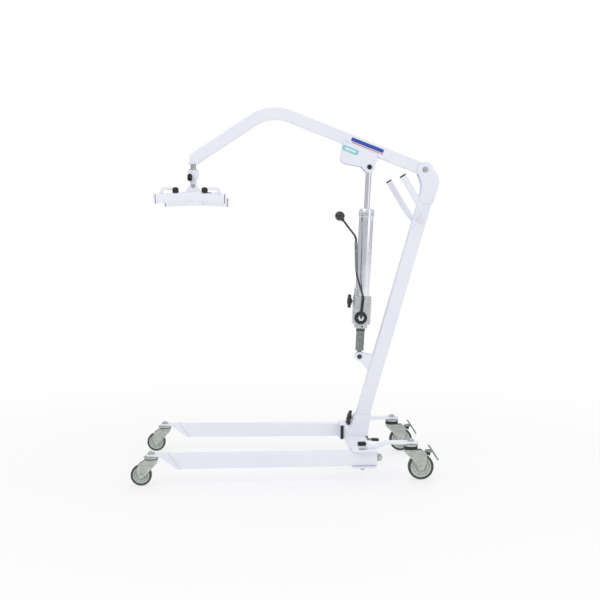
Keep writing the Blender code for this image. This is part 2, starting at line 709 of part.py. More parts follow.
def mast_head():
    """Two cheeks joined behind the mast, with the boom's pivot hole through them."""
    inner = MAST_WIDTH / 2 + GAP
    outer = inner + CHEEK
    clear = MAST_DEPTH / 2 / cos(MAST_LEAN)

    def front(z):
        return mast_x(z) - clear

    def rear(z):
        return mast_x(z) + clear

    web = 5 * MM
    radius = 32 * MM
    outline = [(front(1094 * MM) + 14 * MM, 1082 * MM), (rear(1074 * MM) + web, 1078 * MM)]
    outline += [(rear(1165 * MM) + web, 1165 * MM), (rear(1165 * MM) - 3 * MM, 1196 * MM)]
    outline += circle(radius, 12, (BOOM_PIVOT_X, BOOM_PIVOT_Z), radians(8), radians(196))
    outline += [(front(1148 * MM) - 4 * MM, 1158 * MM), (front(1130 * MM) - 1 * MM, 1130 * MM)]
    outline += [(front(1100 * MM), 1100 * MM)]
    near = prism(outline, -outer, -inner, "Y")
    far = prism(outline, inner, outer, "Y")
    back = [(rear(1084 * MM) + GAP * 1.1, 1084 * MM), (rear(1084 * MM) + web, 1084 * MM)]
    back += [(rear(1160 * MM) + web, 1160 * MM), (rear(1160 * MM) + GAP * 1.1, 1160 * MM)]
    plate = prism(back, -outer + 1 * MM, outer - 1 * MM, "Y")
    hole = along_y(rod(BOOM_PIN_R + RUN, -0.1, 0.1), (BOOM_PIVOT_X, 0, BOOM_PIVOT_Z))
    body = shaped(near, add=[plate, far], cut=[hole])
    return moved(body, (-BOOM_PIVOT_X, 0, -BOOM_PIVOT_Z))


def pin(radius, half, head_r, head=4 * MM):
    """A cross pin along Y with a round head at each end; origin at its middle."""
    profile = [(0, -half - head), (head_r - 1 * MM, -half - head), (head_r, -half - head + 1 * MM)]
    profile += [(head_r, -half), (radius, -half), (radius, half), (head_r, half)]
    profile += [(head_r, half + head - 1 * MM), (head_r - 1 * MM, half + head), (0, half + head)]
    return along_y(lathe(profile, 16))


def pump_bracket():
    """A U bracket on the mast's front that holds the ram's lower pin."""
    inner = EYE_HALF + 1.2 * MM
    outer = inner + CHEEK
    clear = MAST_DEPTH / 2 / cos(MAST_LEAN) + GAP * 1.1

    def face(z):
        return mast_x(z) - clear

    top, low = 459 * MM, 392 * MM
    centre = (RAM_LOW_X, RAM_LOW_Z)
    outline = [(face(top), top), (RAM_LOW_X + 8 * MM, top + 8 * MM)]
    outline += circle(RAM_EYE_R + 1 * MM, 10, centre, radians(70), radians(260))
    outline += [(face(low), low)]
    near = prism(outline, -outer, -inner, "Y")
    far = prism(outline, inner, outer, "Y")
    depth = 5 * MM
    back = [(face(low), low), (face(top), top), (face(top) - depth, top), (face(low) - depth, low)]
    plate = prism(back, -outer + 1 * MM, outer - 1 * MM, "Y")
    hole = along_y(rod(RAM_PIN_R + RUN, -0.1, 0.1), (RAM_LOW_X, 0, RAM_LOW_Z))
    body = shaped(near, add=[plate, far], cut=[hole])
    return moved(body, (-RAM_LOW_X, 0, -RAM_LOW_Z)), outer


def push_handle():
    """A U of round tube whose cross bar runs through the mast."""
    lean = Vector((-sin(HANDLE_LEAN), 0, cos(HANDLE_LEAN)))
    near, far = Vector((0, -HANDLE_HALF, 0)), Vector((0, HANDLE_HALF, 0))
    points = [near + lean * HANDLE_ARM, near, far, far + lean * HANDLE_ARM]
    path = rounded_path(points, HANDLE_BEND_R, 6)
    side = lean.cross(Vector((0, 1, 0)))
    wall = 2 * MM
    return sweep(path, circle(HANDLE_R, 14), side, circle(HANDLE_R - wall, 14)), lean


def mast_fittings():
    pivot = (BOOM_PIVOT_X, 0, BOOM_PIVOT_Z)
    add("mast_head", mast_head(), WHITE, pivot)
    half = MAST_WIDTH / 2 + GAP + CHEEK + GAP
    add("boom_pin", pin(BOOM_PIN_R, half, 12 * MM), ZINC, pivot)
    bracket, outer = pump_bracket()
    low = (RAM_LOW_X, 0, RAM_LOW_Z)
    add("pump_bracket", bracket, WHITE, low)
    add("ram_lower_pin", pin(RAM_PIN_R, outer + GAP, 10 * MM), DARK_STEEL, low)
    tube, lean = push_handle()
    centre = Vector((mast_x(HANDLE_Z), 0, HANDLE_Z))
    add("push_handle", tube, WHITE, centre)
    cap = rod(HANDLE_R + 1 * MM, 0, 5 * MM, 16, 1.2 * MM)
    plug = rod(HANDLE_R - 2.5 * MM - GAP, -12 * MM, 1 * MM, 12)
    cap = shaped(cap, add=[plug])
    for name, side in SIDES:
        end = centre + Vector((0, side * HANDLE_HALF, 0)) + lean * (HANDLE_ARM + GAP)
        add(f"handle_cap_{name}", cap, BLACK, end, (0, -HANDLE_LEAN, 0))


# ---------------------------------------------------------------- boom


def boom_line(x):
    """Height of the boom's rear run above a place."""
    return BOOM_PIVOT_Z + (BOOM_PIVOT_X - x) * tan(BOOM_REAR_SLOPE)


def boom():
    corner_z = boom_line(BOOM_CORNER_X)
    tail_x = BOOM_PIVOT_X + BOOM_TAIL * cos(BOOM_REAR_SLOPE)
    tip_z = corner_z - (BOOM_CORNER_X - BOOM_TIP_X) * tan(BOOM_FRONT_SLOPE)
    points = [(tail_x, 0, boom_line(tail_x)), (BOOM_CORNER_X, 0, corner_z), (BOOM_TIP_X, 0, tip_z)]
    path = rounded_path(points, BOOM_BEND_R, 7)
    outside = rounded(BOOM_WIDTH, BOOM_HEIGHT, 6 * MM, 4)
    inside = rounded(BOOM_WIDTH - 2 * BOOM_WALL, BOOM_HEIGHT - 2 * BOOM_WALL, 4 * MM, 4)
    tube = sweep(path, outside, (0, 1, 0), inside)
    boss_low = tip_z - 17 * MM
    boss = moved(rod(17 * MM, boss_low, tip_z + 10 * MM, 20), (SWIVEL_X, 0, 0))
    seat = moved(rod(POST_R + RUN, boss_low - 20 * MM, tip_z + 6 * MM), (SWIVEL_X, 0, 0))
    hole = along_y(rod(BOOM_PIN_R + RUN, -0.1, 0.1), (BOOM_PIVOT_X, 0, BOOM_PIVOT_Z))
    tube = shaped(tube, add=[boss], cut=[seat, hole])
    pivot = Vector((BOOM_PIVOT_X, 0, BOOM_PIVOT_Z))
    add("boom_tube", moved(tube, -pivot), WHITE, pivot)
    return tip_z + 6 * MM


def boom_bracket():
    """The U bracket under the boom: two cheeks joined at the front, around the ram's upper eye."""
    inner = BOOM_WIDTH / 2 + GAP
    outer = inner + 4 * MM
    front, rear = 241 * MM, 383 * MM
    rise = 14 * MM
    outline = [(front + 6 * MM, boom_line(front + 6 * MM) - rise), (front - 8 * MM, 1262 * MM)]
    outline += [(front - 4 * MM, 1248 * MM), (front + 14 * MM, 1240 * MM), (RAM_HIGH_X - 34 * MM, 1229 * MM)]
    outline += circle(23 * MM, 10, (RAM_HIGH_X, RAM_HIGH_Z), radians(205), radians(375))
    outline += [(rear, boom_line(rear) - 38 * MM), (rear, boom_line(rear) - rise)]
    near = prism(outline, -outer, -inner, "Y")
    far = prism(outline, inner, outer, "Y")
    drop = BOOM_HEIGHT / 2 / cos(BOOM_REAR_SLOPE) + GAP * 2
    wall = 4 * MM
    web = [(front - 7 * MM, 1262 * MM), (front - 2 * MM, 1250 * MM), (front + 2 * MM, 1250 * MM)]
    web += [(front - 1 * MM + wall, 1262 * MM), (front + 14 * MM, boom_line(front + 14 * MM) - drop)]
    web += [(front + 4 * MM, boom_line(front + 4 * MM) - drop)]
    plate = prism(web, -outer + 1 * MM, outer - 1 * MM, "Y")
    hole = along_y(rod(RAM_PIN_R + RUN, -0.1, 0.1), (RAM_HIGH_X, 0, RAM_HIGH_Z))
    body = shaped(near, add=[plate, far], cut=[hole])
    return moved(body, (-RAM_HIGH_X, 0, -RAM_HIGH_Z)), outer


def boom_fittings():
    bracket, outer = boom_bracket()
    high = (RAM_HIGH_X, 0, RAM_HIGH_Z)
    add("boom_bracket", bracket, WHITE, high)
    reach = outer + GAP
    stub = [(0, EYE_HALF + 1 * MM), (RAM_PIN_R, EYE_HALF + 1 * MM), (RAM_PIN_R, reach)]
    stub += [(10 * MM, reach), (10 * MM, reach + 3 * MM), (9 * MM, reach + 4 * MM), (0, reach + 4 * MM)]
    for name, side in SIDES:
        turn = pi / 2 if side < 0 else -pi / 2
        add(f"ram_upper_pin_{name}", moved(lathe(stub, 14), turn=turn, axis="X"), DARK_STEEL, high)


# ---------------------------------------------------------------- ram

RAM_LENGTH = ((RAM_HIGH_X - RAM_LOW_X) ** 2 + (RAM_HIGH_Z - RAM_LOW_Z) ** 2) ** 0.5
RAM_LEAN = atan2(RAM_HIGH_X - RAM_LOW_X, RAM_HIGH_Z - RAM_LOW_Z)


def on_ram(x, y, z):
    """A place given about the ram's own axis, from its lower pin."""
    return (
        RAM_LOW_X + x * cos(RAM_LEAN) + z * sin(RAM_LEAN),
        y,
        RAM_LOW_Z - x * sin(RAM_LEAN) + z * cos(RAM_LEAN),
    )


def ram_barrel():
    """The main tube with its gland, the collar and the pump block, open at the top for the rod."""
    bore = ROD_R + RUN
    depth = RAM_TUBE_LOW + 5 * MM
    profile = [(0, 117 * MM), (25 * MM, 117 * MM), (27 * MM, 119 * MM), (27 * MM, 133 * MM)]
    profile += [(24 * MM, 135 * MM), (24 * MM, 240 * MM), (RAM_R, 240 * MM), (RAM_R, 572 * MM)]
    gland = RAM_R + 2 * MM
    profile += [(gland, 574 * MM), (gland, 603 * MM), (gland - 3 * MM, RAM_TUBE_TOP), (bore, RAM_TUBE_TOP)]
    profile += [(bore, depth), (0, depth)]
    tube = lathe(profile, 24)
    body = rounded(BLOCK_DEPTH, BLOCK_WIDTH, 8 * MM, 4)
    casting = prism(body, BLOCK_LOW, RAM_TUBE_LOW, "Z")
    pump = rod(12 * MM, BLOCK_LOW + 40 * MM, RAM_TUBE_LOW + 34 * MM, 16, 2 * MM)
    pump = moved(pump, (-23 * MM, -12 * MM, 0))
    return shaped(tube, add=[casting, pump])


def ram():
    low = on_ram(0, 0, 0)
    turn = (0, RAM_LEAN, 0)
    add("ram_barrel", ram_barrel(), CHROME, low, turn)

    neck = [(0, 12 * MM), (10 * MM, 12 * MM), (10 * MM, 22 * MM), (17.5 * MM, 24 * MM)]
    for k in range(3):
        z = (40 + 24 * k) * MM
        neck += [(17.5 * MM, z), (16.3 * MM, z + 1 * MM), (16.3 * MM, z + 3 * MM), (17.5 * MM, z + 4 * MM)]
    top = 117 * MM - GAP
    neck += [(17.5 * MM, top), (0, top)]
    eye = along_y(rod(RAM_EYE_R, -EYE_HALF, EYE_HALF, 20))
    hole = along_y(rod(RAM_PIN_R + RUN, -0.1, 0.1))
    add("ram_lower_tube", shaped(lathe(neck, 20), add=[eye], cut=[hole]), DARK_STEEL, low, turn)

    rest_low = RAM_TUBE_TOP - RAM_LENGTH - 218 * MM
    shaft = rod(ROD_R, rest_low, -10 * MM, 20)
    eye = along_y(rod(RAM_EYE_R + 1 * MM, -EYE_HALF, EYE_HALF, 20))
    add("ram_rod", shaped(shaft, add=[eye]), CHROME, on_ram(0, 0, RAM_LENGTH), turn)

    knob = star_knob(28 * MM, 13 * MM, 5 * MM, 9 * MM)
    spot = on_ram(-BLOCK_DEPTH / 2 - 9.5 * MM, 0, 226 * MM)
    add("release_knob", knob, BLACK, spot, (0, RAM_LEAN - pi / 2, 0))


def pump_lever():
    """The pump's disc and its cranked lever, made about the lever's pivot on the ram's near side."""
    face = BLOCK_WIDTH / 2 + GAP
    disc = along_y(rod(27 * MM, face, face + 9 * MM, 24, 1.5 * MM))
    low, high = face + 2 * MM, face + 15 * MM
    nut = along_y(lathe([(0, low), (12 * MM, low), (12 * MM, high), (0, high)], 6))
    plane = -(face + 13 * MM)
    points = [(0, plane, 0), (9 * MM, plane, 84 * MM), (-18 * MM, plane, 175 * MM)]
    points += [(-22 * MM, plane, 330 * MM), (-76 * MM, plane, 400 * MM)]
    bar = sweep(rounded_path(points, 40 * MM, 4), circle(LEVER_R, 12), (0, 1, 0))
    end = Vector(points[-1])
    way = (end - Vector(points[-2])).normalized()
    return shaped(disc, add=[nut, bar]), end, way


def lever():
    mesh, end, way = pump_lever()
    pivot = Vector(on_ram(-5 * MM, 0, LEVER_Z))
    add("pump_lever", mesh, DARK_STEEL, pivot)
    ball = []
    steps = 9
    for i in range(steps + 1):
        a = -pi / 2 + 0.35 + (pi - 0.35) * i / steps
        ball.append((BALL_R * cos(a) if i < steps else 0, BALL_R * sin(a)))
    low = ball[0][1]
    ball = [(0, low)] + ball
    lean = atan2(way.x, way.z)
    spot = pivot + end + way * (-low + GAP)
    add("lever_ball", lathe(ball, 20), BLACK, spot, (0, lean, 0))


# ---------------------------------------------------------------- cradle


def swivel_post(top):
    """The post that turns in the boom's end, with its flange."""
    flange = YOKE_TOP + GAP
    profile = [(0, flange), (16 * MM, flange), (16 * MM, flange + 4 * MM), (POST_R, flange + 5 * MM)]
    profile += [(POST_R, top - 2 * MM), (POST_R - 1 * MM, top - GAP), (0, top - GAP)]
    return moved(lathe(profile, 20), (0, 0, -TILT_Z))


def yoke():
    """A block with a tongue below it for the tilt pin; origin on the pin's axis."""
    high, low = YOKE_TOP - TILT_Z, YOKE_BOTTOM - TILT_Z
    body = prism(rounded(44 * MM, 32 * MM, 5 * MM, 4), low, high, "Z")
    outline = circle(13 * MM, 12, (0, 0), -pi, 0)
    outline += [(13 * MM, low + 4 * MM), (-13 * MM, low + 4 * MM)]
    tongue = prism(outline, -TONGUE_HALF, TONGUE_HALF, "Y")
    hole = along_y(rod(TILT_PIN_R + RUN, -0.1, 0.1))
    slot = moved(along_y(rod(4 * MM + RUN, 8 * MM, 30 * MM, 16)), (-13 * MM, 0, 33 * MM))
    return shaped(body, add=[tongue], cut=[hole, slot])


def cradle_beam():
    """The cross beam under the yoke with its two cheeks; origin on the tilt pin's axis."""
    inner = TONGUE_HALF + 0.6 * MM
    outer = inner + CRADLE_CHEEK
    top = BAR_Z + BAR_HEIGHT / 2 - TILT_Z
    outline = [(-31 * MM, top - 6 * MM), (31 * MM, top - 6 * MM), (26 * MM, -10 * MM)]
    outline += circle(16 * MM, 9, (0, 0), radians(-5), radians(185))
    outline += [(-26 * MM, -10 * MM)]
    reach = BAR_Y - BAR_WIDTH / 2 - GAP
    section = [(b, a + BAR_Z - TILT_Z) for a, b in rounded(BAR_HEIGHT, 54 * MM, 9 * MM, 4)]
    beam = prism(section, -reach, reach, "Y")
    near = prism(outline, -outer, -inner, "Y")
    far = prism(outline, inner, outer, "Y")
    hole = along_y(rod(TILT_PIN_R + RUN, -0.1, 0.1))
    return shaped(beam, add=[near, far], cut=[hole]), outer


def side_bar():
    """A slightly arched side bar with a hook rising near each end; origin at its middle."""
    points = [(-BAR_HALF, 0, -BAR_DROP), (0, 0, 0), (BAR_HALF, 0, -BAR_DROP)]
    bar = sweep(rounded_path(points, 150 * MM, 3), rounded(BAR_WIDTH, BAR_HEIGHT, 9 * MM, 4), (0, 1, 0))
    rise = HOOK_Z - BAR_Z
    hooks = []
    for end in (-1, 1):
        points = [(end * HOOK_OUT, 0, -BAR_DROP), (end * HOOK_OUT, 0, rise), (end * HOOK_IN, 0, rise)]
        hooks.append(sweep(rounded_path(points, 9 * MM, 4), circle(HOOK_R, 12), (0, 1, 0)))
    return shaped(bar, add=hooks)


def sling_stop():
    """A rounded rubber block that closes a hook's mouth."""
    profile = [(0, 0), (10 * MM, 0), (12.5 * MM, 3 * MM), (12.5 * MM, 14 * MM)]
    profile += [(10 * MM, 19 * MM), (6 * MM, 21 * MM), (0, 21.5 * MM)]
    return lathe(profile, 16)


def cradle(post_top):
    axis = (SWIVEL_X, 0, TILT_Z)
    add("cradle_post", swivel_post(post_top), ZINC, axis)
    add("cradle_yoke", yoke(), CHROME, axis)
    knob = prism(rounded(20 * MM, 30 * MM, 9 * MM, 4), 16.5 * MM, 30 * MM, "Y")
    knob = moved(knob, (0, -46.5 * MM, 0))
    stem = along_y(rod(4 * MM, 10 * MM, 20 * MM, 16))
    add("yoke_lock_knob", shaped(knob, add=[stem]), BLACK, (SWIVEL_X - 13 * MM, 0, TILT_Z + 33 * MM))
    beam, outer = cradle_beam()
    add("cradle_beam", beam, WHITE, axis)
    add("cradle_tilt_pin", pin(TILT_PIN_R, outer + GAP, 9 * MM, 3 * MM), ZINC, axis)
    bar = side_bar()
    stop = sling_stop()
    slope = atan2(BAR_DROP, BAR_HALF)
    top = BAR_Z + BAR_HEIGHT / 2 / cos(slope) - BAR_DROP * STOP_X / BAR_HALF
    for name, side in SIDES:
        add(f"cradle_bar_{name}", bar, WHITE, (SWIVEL_X, side * BAR_Y, BAR_Z))
        for place, end in (("front", -1), ("rear", 1)):
            spot = (SWIVEL_X + end * STOP_X, side * BAR_Y, top + GAP + 0.2 * MM)
            add(f"sling_stop_{place}_{name}", stop, RUBBER, spot, (0, end * slope, 0))


# ---------------------------------------------------------------- leg pedal


def spreader_pedal():
    """The foot pedal that spreads the legs: a hooked lever behind the cross beam with a rubber pad."""
    outline = [(0, 16 * MM), (5 * MM, 16 * MM), (8 * MM, 4 * MM), (11 * MM, 0), (52 * MM, -2 * MM)]
    outline += [(52 * MM, -8 * MM), (8 * MM, -8 * MM), (-4 * MM, -7 * MM), (-6 * MM, 4 * MM)]
    arm = prism(outline, -5 * MM, 5 * MM, "Y")
    hub_part = along_y(rod(9 * MM, -12 * MM, 12 * MM, 16))
    return shaped(arm, add=[hub_part])


def centre_on_floor():
    """Moves everything so that the whole hoist is centred over the origin."""
    bpy.context.view_layer.update()
    graph = bpy.context.evaluated_depsgraph_get()
    low, high = 1e9, -1e9
    for piece in bpy.data.objects:
        solid = piece.evaluated_get(graph)
        for corner in solid.bound_box:
            x = (solid.matrix_world @ Vector(corner)).x
            low, high = min(low, x), max(high, x)
    for piece in bpy.data.objects:
        piece.location.x -= (low + high) / 2
    bpy.context.view_layer.update()


def build():
    for old in list(bpy.data.objects):
        bpy.data.objects.remove(old)
    base()
    rear_arms()
    legs()
    casters()
    mast()
    mast_fittings()
    post_top = boom()
    boom_fittings()
    ram()
    lever()
    cradle(post_top)
    pedal_spot = (MIDDLE_REAR + 9 * MM + GAP, 0, BEAM_TOP - 17 * MM)
    add("spreader_pedal", spreader_pedal(), DARK_STEEL, pedal_spot)
    centre_on_floor()


build()
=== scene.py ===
"""Looks for the patient lift hoist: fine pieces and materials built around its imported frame.
Metres, +Z up. The near side is -Y, the patient's side is -X and the pushing side is +X."""

import json
from math import atan2, cos, pi, radians, sin, tan

import bmesh
import bpy
from mathutils import Matrix, Vector


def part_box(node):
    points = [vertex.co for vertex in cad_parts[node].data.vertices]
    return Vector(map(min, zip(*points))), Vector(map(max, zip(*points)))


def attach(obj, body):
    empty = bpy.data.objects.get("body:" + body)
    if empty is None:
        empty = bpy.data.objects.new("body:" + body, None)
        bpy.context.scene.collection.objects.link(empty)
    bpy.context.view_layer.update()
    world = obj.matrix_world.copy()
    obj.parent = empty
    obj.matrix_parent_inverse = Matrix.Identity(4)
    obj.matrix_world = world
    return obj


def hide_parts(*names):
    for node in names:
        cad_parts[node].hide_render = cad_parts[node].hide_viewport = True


MM = 0.001
GAP = 0.3 * MM
SIDES = (("near", -1), ("far", 1))

# Base and legs
LEG_HEIGHT = 56 * MM
LEG_WIDTH = 40 * MM
LEG_REAR = 54 * MM
LEG_CORNER_R = 5 * MM
TIP_THICK = 8 * MM
BEAM_WALL = 4.4 * MM
BEAM_FRONT = 25 * MM
BEAM_REAR = 38 * MM
ARM_WIDTH = 40 * MM
ARM_THICK = 10 * MM

# Casters
TYRE_HALF = 12 * MM
FORK_GAP = 13.2 * MM
FORK_PLATE = 3 * MM
AXLE_R = 5 * MM
STEM_R = 6 * MM
STEM_NUT = 11 * MM

# Mast
MAST_DEPTH = 55 * MM
MAST_WIDTH = 42 * MM
CHEEK = 5 * MM

# Boom, about its pivot
BOOM_HEIGHT = 48 * MM
BOOM_WIDTH = 40 * MM
BOOM_REAR_SLOPE = radians(21.2)
BOOM_FRONT_SLOPE = radians(33.5)
BOOM_CORNER = 630.7 * MM
BOOM_REACH = 945.5 * MM
BOOM_BEND_R = 170 * MM
BOOM_TAIL = 26 * MM

# Ram, along its axis from the lower pin
RAM_R = 29 * MM
RAM_TUBE_TOP = 607 * MM
RAM_TUBE_LOW = 251 * MM
BLOCK_LOW = 131 * MM
BLOCK_DEPTH = 72 * MM
BLOCK_WIDTH = 60 * MM
ROD_R = 12 * MM
EYE_HALF = 11 * MM
RAM_EYE_R = 17 * MM

# Cradle, about its tilt pin
BAR_Y = 228 * MM
BAR_HALF = 139 * MM
BAR_HEIGHT = 36 * MM
BAR_WIDTH = 22 * MM
BAR_DROP = 8 * MM
BAR_BELOW = 52.5 * MM
HOOK_R = 6 * MM
HOOK_OUT = 110 * MM
HOOK_IN = 71 * MM
HOOK_RISE = 32 * MM
STOP_X = 55 * MM
TILT_HOLE = 6.3 * MM

# Push handle
HANDLE_R = 12.7 * MM
HANDLE_HALF = 200 * MM
HANDLE_ARM = 192 * MM
HANDLE_LEAN = radians(31)
HANDLE_BEND_R = 85 * MM

# Camera, for a 36 mm sensor
LENS = 60.4
CAMERA_SPOT = (-0.154, -4.12, 0.949)
CAMERA_YAW = radians(2.78)
CAMERA_PITCH = radians(3.66)

# Studio
FLOOR_R = 14.0
LIGHT_AIM = Vector((0, 0, 0.7))

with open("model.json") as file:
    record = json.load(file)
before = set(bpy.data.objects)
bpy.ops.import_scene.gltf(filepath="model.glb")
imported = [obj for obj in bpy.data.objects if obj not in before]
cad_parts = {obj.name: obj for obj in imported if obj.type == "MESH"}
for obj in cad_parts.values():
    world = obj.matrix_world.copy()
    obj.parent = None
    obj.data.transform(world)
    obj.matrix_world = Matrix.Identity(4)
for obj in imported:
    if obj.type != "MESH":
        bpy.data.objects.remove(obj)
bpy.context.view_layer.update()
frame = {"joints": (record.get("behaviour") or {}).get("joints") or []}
JOINTS = {joint["name"]: joint for joint in frame["joints"]}


def place(joint):
    """The point that a joint turns about."""
    return Vector(JOINTS[joint]["pos_m"])


def lean_of(joint):
    """How far a joint's axis leans from +Z towards +X."""
    axis = JOINTS[joint]["axis"]
    return atan2(axis[0], axis[2])


def frame_at(spot, turn, axis="Y"):
    """A matrix that turns about an axis and then moves to a spot."""
    return Matrix.Translation(spot) @ Matrix.Rotation(turn, 4, axis)


MAST_LEAN = lean_of("mast_lift_out")
RAM_LEAN = lean_of("ram_stroke")
BOOM_PIVOT = place("boom_pivot")
RAM_LOW = place("ram_tilt")
TILT = place("cradle_tilt")
MAST_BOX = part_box("mast_tube")
MAST_MIDDLE = (MAST_BOX[0] + MAST_BOX[1]) / 2
MAST_RISE = MAST_BOX[1].z - MAST_BOX[0].z
MAST_LENGTH = (MAST_RISE - MAST_DEPTH * sin(MAST_LEAN)) / cos(MAST_LEAN)
BEAM_LOW, BEAM_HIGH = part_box("base_cross_beam")
LEG_LOW, LEG_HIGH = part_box("leg_near")
PIN_LOW, PIN_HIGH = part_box("ram_upper_pin_near")
RAM_HIGH = Vector(((PIN_LOW.x + PIN_HIGH.x) / 2, 0, (PIN_LOW.z + PIN_HIGH.z) / 2))
ON_RAM = frame_at(RAM_LOW, RAM_LEAN)
ON_MAST = frame_at(MAST_MIDDLE, MAST_LEAN)


# ---------------------------------------------------------------- shapes


def mm(*points):
    """Points given in millimetres, in metres."""
    return [tuple(value * MM for value in point) for point in points]


def circle(radius, count=32, centre=(0, 0), start=0.0, end=2 * pi):
    """Points of a circle, or of an arc of it when start and end are given."""
    whole = abs(end - start) >= 2 * pi - 1e-9
    steps = count if whole else count - 1
    angles = [start + (end - start) * i / steps for i in range(count)]
    return [(centre[0] + radius * cos(a), centre[1] + radius * sin(a)) for a in angles]


def rounded(width, height, radius, count=8):
    """A rectangle with rounded corners, centred on the origin."""
    points = []
    for k, (sx, sy) in enumerate(((1, 1), (-1, 1), (-1, -1), (1, -1))):
        centre = (sx * (width / 2 - radius), sy * (height / 2 - radius))
        points += circle(radius, count, centre, k * pi / 2, (k + 1) * pi / 2)
    return points


def star(radius, depth, lobes, count=120):
    """A smooth star with round lobes."""
    points = []
    for i in range(count):
        a = 2 * pi * i / count
        r = radius - depth / 2 + depth / 2 * cos(lobes * a)
        points.append((r * cos(a), r * sin(a)))
    return points


def mesh_of(bm):
    """A mesh from a bmesh, with its faces turned outwards."""
    bmesh.ops.recalc_face_normals(bm, faces=bm.faces)
    mesh = bpy.data.meshes.new("shape")
    bm.to_mesh(mesh)
    bm.free()
    return mesh


def skin(rings, closed=False):
    """A solid through rings of points; a closed one joins its last ring to its first."""
    bm = bmesh.new()
    rows = [[bm.verts.new(p) for p in ring] for ring in rings]
    pairs = list(zip(rows, rows[1:]))
    if closed:
        pairs.append((rows[-1], rows[0]))
    count = len(rows[0])
    for a, b in pairs:
        for i in range(count):
            j = (i + 1) % count
            bm.faces.new((a[i], a[j], b[j], b[i]))
    if not closed:
        bm.faces.new(reversed(rows[0]))
        bm.faces.new(rows[-1])
    return mesh_of(bm)


def rounded_path(points, radius, steps=16):
    """A path of straight runs whose corners are arcs."""
    path = [Vector(points[0])]
    for before, corner, after in zip(points, points[1:], points[2:]):
        before, corner, after = Vector(before), Vector(corner), Vector(after)
        back = (before - corner).normalized()
        on = (after - corner).normalized()
        half = back.angle(on) / 2
        centre = corner + (back + on).normalized() * radius / sin(half)
        arm = corner + back * radius / tan(half) - centre
        axis = arm.cross(-back).normalized()
        for i in range(steps + 1):
            path.append(centre + Matrix.Rotation((pi - 2 * half) * i / steps, 3, axis) @ arm)
    path.append(Vector(points[-1]))
    return path


def sweep(path, profile, side, ease=0.0):
    """A profile of (across, up) points along a flat path. Its ends are eased by a small chamfer."""
    side = Vector(side).normalized()
    path = [Vector(p) for p in path]
    rings = []
    for i, point in enumerate(path):
        a = (path[i] - path[i - 1]).normalized() if i else None
        b = (path[i + 1] - path[i]).normalized() if i + 1 < len(path) else None
        tangent = (a or b) + (b or a)
        tangent.normalize()
        up = side.cross(tangent)
        rings.append([point + side * u + up * v for u, v in profile])
        if ease and (i == 0 or i + 1 == len(path)):
            inward = tangent * ease * (1 if i == 0 else -1)
            full = [p + inward for p in rings[-1]]
            small = [point + (p - point) * (1 - ease / max(abs(v) for _, v in profile)) for p in rings[-1]]
            rings[-1:] = [small, full] if i == 0 else [full, small]
    return skin(rings)


def lathe(profile, count=64, ring=False):
    """A profile of (radius, height) points turned about Z. A ring profile closes on itself."""
    bm = bmesh.new()
    rows = []
    for r, z in profile:
        if r < 1e-9:
            rows.append([bm.verts.new((0, 0, z))])
        else:
            rows.append([bm.verts.new((x, y, z)) for x, y in circle(r, count)])
    pairs = list(zip(rows, rows[1:]))
    if ring:
        pairs.append((rows[-1], rows[0]))
    for a, b in pairs:
        for i in range(count):
            j = (i + 1) % count
            if len(a) == 1:
                bm.faces.new((a[0], b[j], b[i]))
            elif len(b) == 1:
                bm.faces.new((a[i], a[j], b[0]))
            else:
                bm.faces.new((a[i], a[j], b[j], b[i]))
    return mesh_of(bm)


def eased(profile, radius, steps=3):
    """A profile whose inner corners are rounded off by short arcs."""
    points = [profile[0]]
    for before, corner, after in zip(profile, profile[1:], profile[2:]):
        corner_point = Vector(corner)
        back, on = Vector(before) - corner_point, Vector(after) - corner_point
        if min(back.length, on.length) < 1e-7 or back.angle(on) > radians(170):
            points.append(corner)
            continue
        reach = min(radius, back.length * 0.45, on.length * 0.45)
        first = corner_point + back.normalized() * reach
        last = corner_point + on.normalized() * reach
        for i in range(steps + 1):
            t = i / steps
            p = first * (1 - t) ** 2 + corner_point * 2 * t * (1 - t) + last * t**2
            points.append((max(p.x, 0.0), p.y))
    points.append(profile[-1])
    return points


def turned(profile, radius=0.8 * MM, count=64):
    """A turned solid with softened corners."""
    return lathe(eased(profile, radius), count)


def drum(radius, low, high, ease=0.8 * MM, count=64):
    """A turned disc or collar with softened corners."""
    return turned([(0, low), (radius, low), (radius, high), (0, high)], ease, count)


def rod(radius, low, high, count=48, chamfer=0.8 * MM):
    """A round bar along Z with chamfered ends."""
    profile = [(0, low), (radius - chamfer, low), (radius, low + chamfer)]
    profile += [(radius, high - chamfer), (radius - chamfer, high), (0, high)]
    return lathe(profile, count)


def prism(outline, low, high, axis="Z"):
    """An outline pushed along an axis: X takes (y, z), Y takes (x, z) and Z takes (x, y) points."""
    if axis == "X":
        rings = [[(c, a, b) for a, b in outline] for c in (low, high)]
    elif axis == "Y":
        rings = [[(a, c, b) for a, b in outline] for c in (low, high)]
    else:
        rings = [[(a, b, c) for a, b in outline] for c in (low, high)]
    return skin(rings)


def block(low, high):
    """A box from its low corner to its high corner."""
    outline = [(low[0], low[1]), (high[0], low[1]), (high[0], high[1]), (low[0], high[1])]
    return prism(outline, low[2], high[2])


def hexagon(across, low, high):
    """A hexagonal nut or bolt head along Z, with its corners turned off."""
    r = across / 2 / cos(pi / 6)
    nut = lathe([(0, low), (r, low), (r, high), (0, high)], 6)
    ease = 0.14 * (high - low)
    cone = [(0, low), (across / 2, low), (r, low + ease), (r, high - ease), (across / 2, high), (0, high)]
    return shaped(nut, keep=[lathe(cone, 48)])


def moved(mesh, offset=(0, 0, 0), turn=0.0, axis="Y"):
    """The mesh turned about an axis through the origin, then moved."""
    mesh.transform(frame_at(offset, turn, axis))
    return mesh


def along_x(mesh, offset=(0, 0, 0)):
    """A shape made along Z, laid along +X."""
    return moved(mesh, offset, pi / 2, "Y")


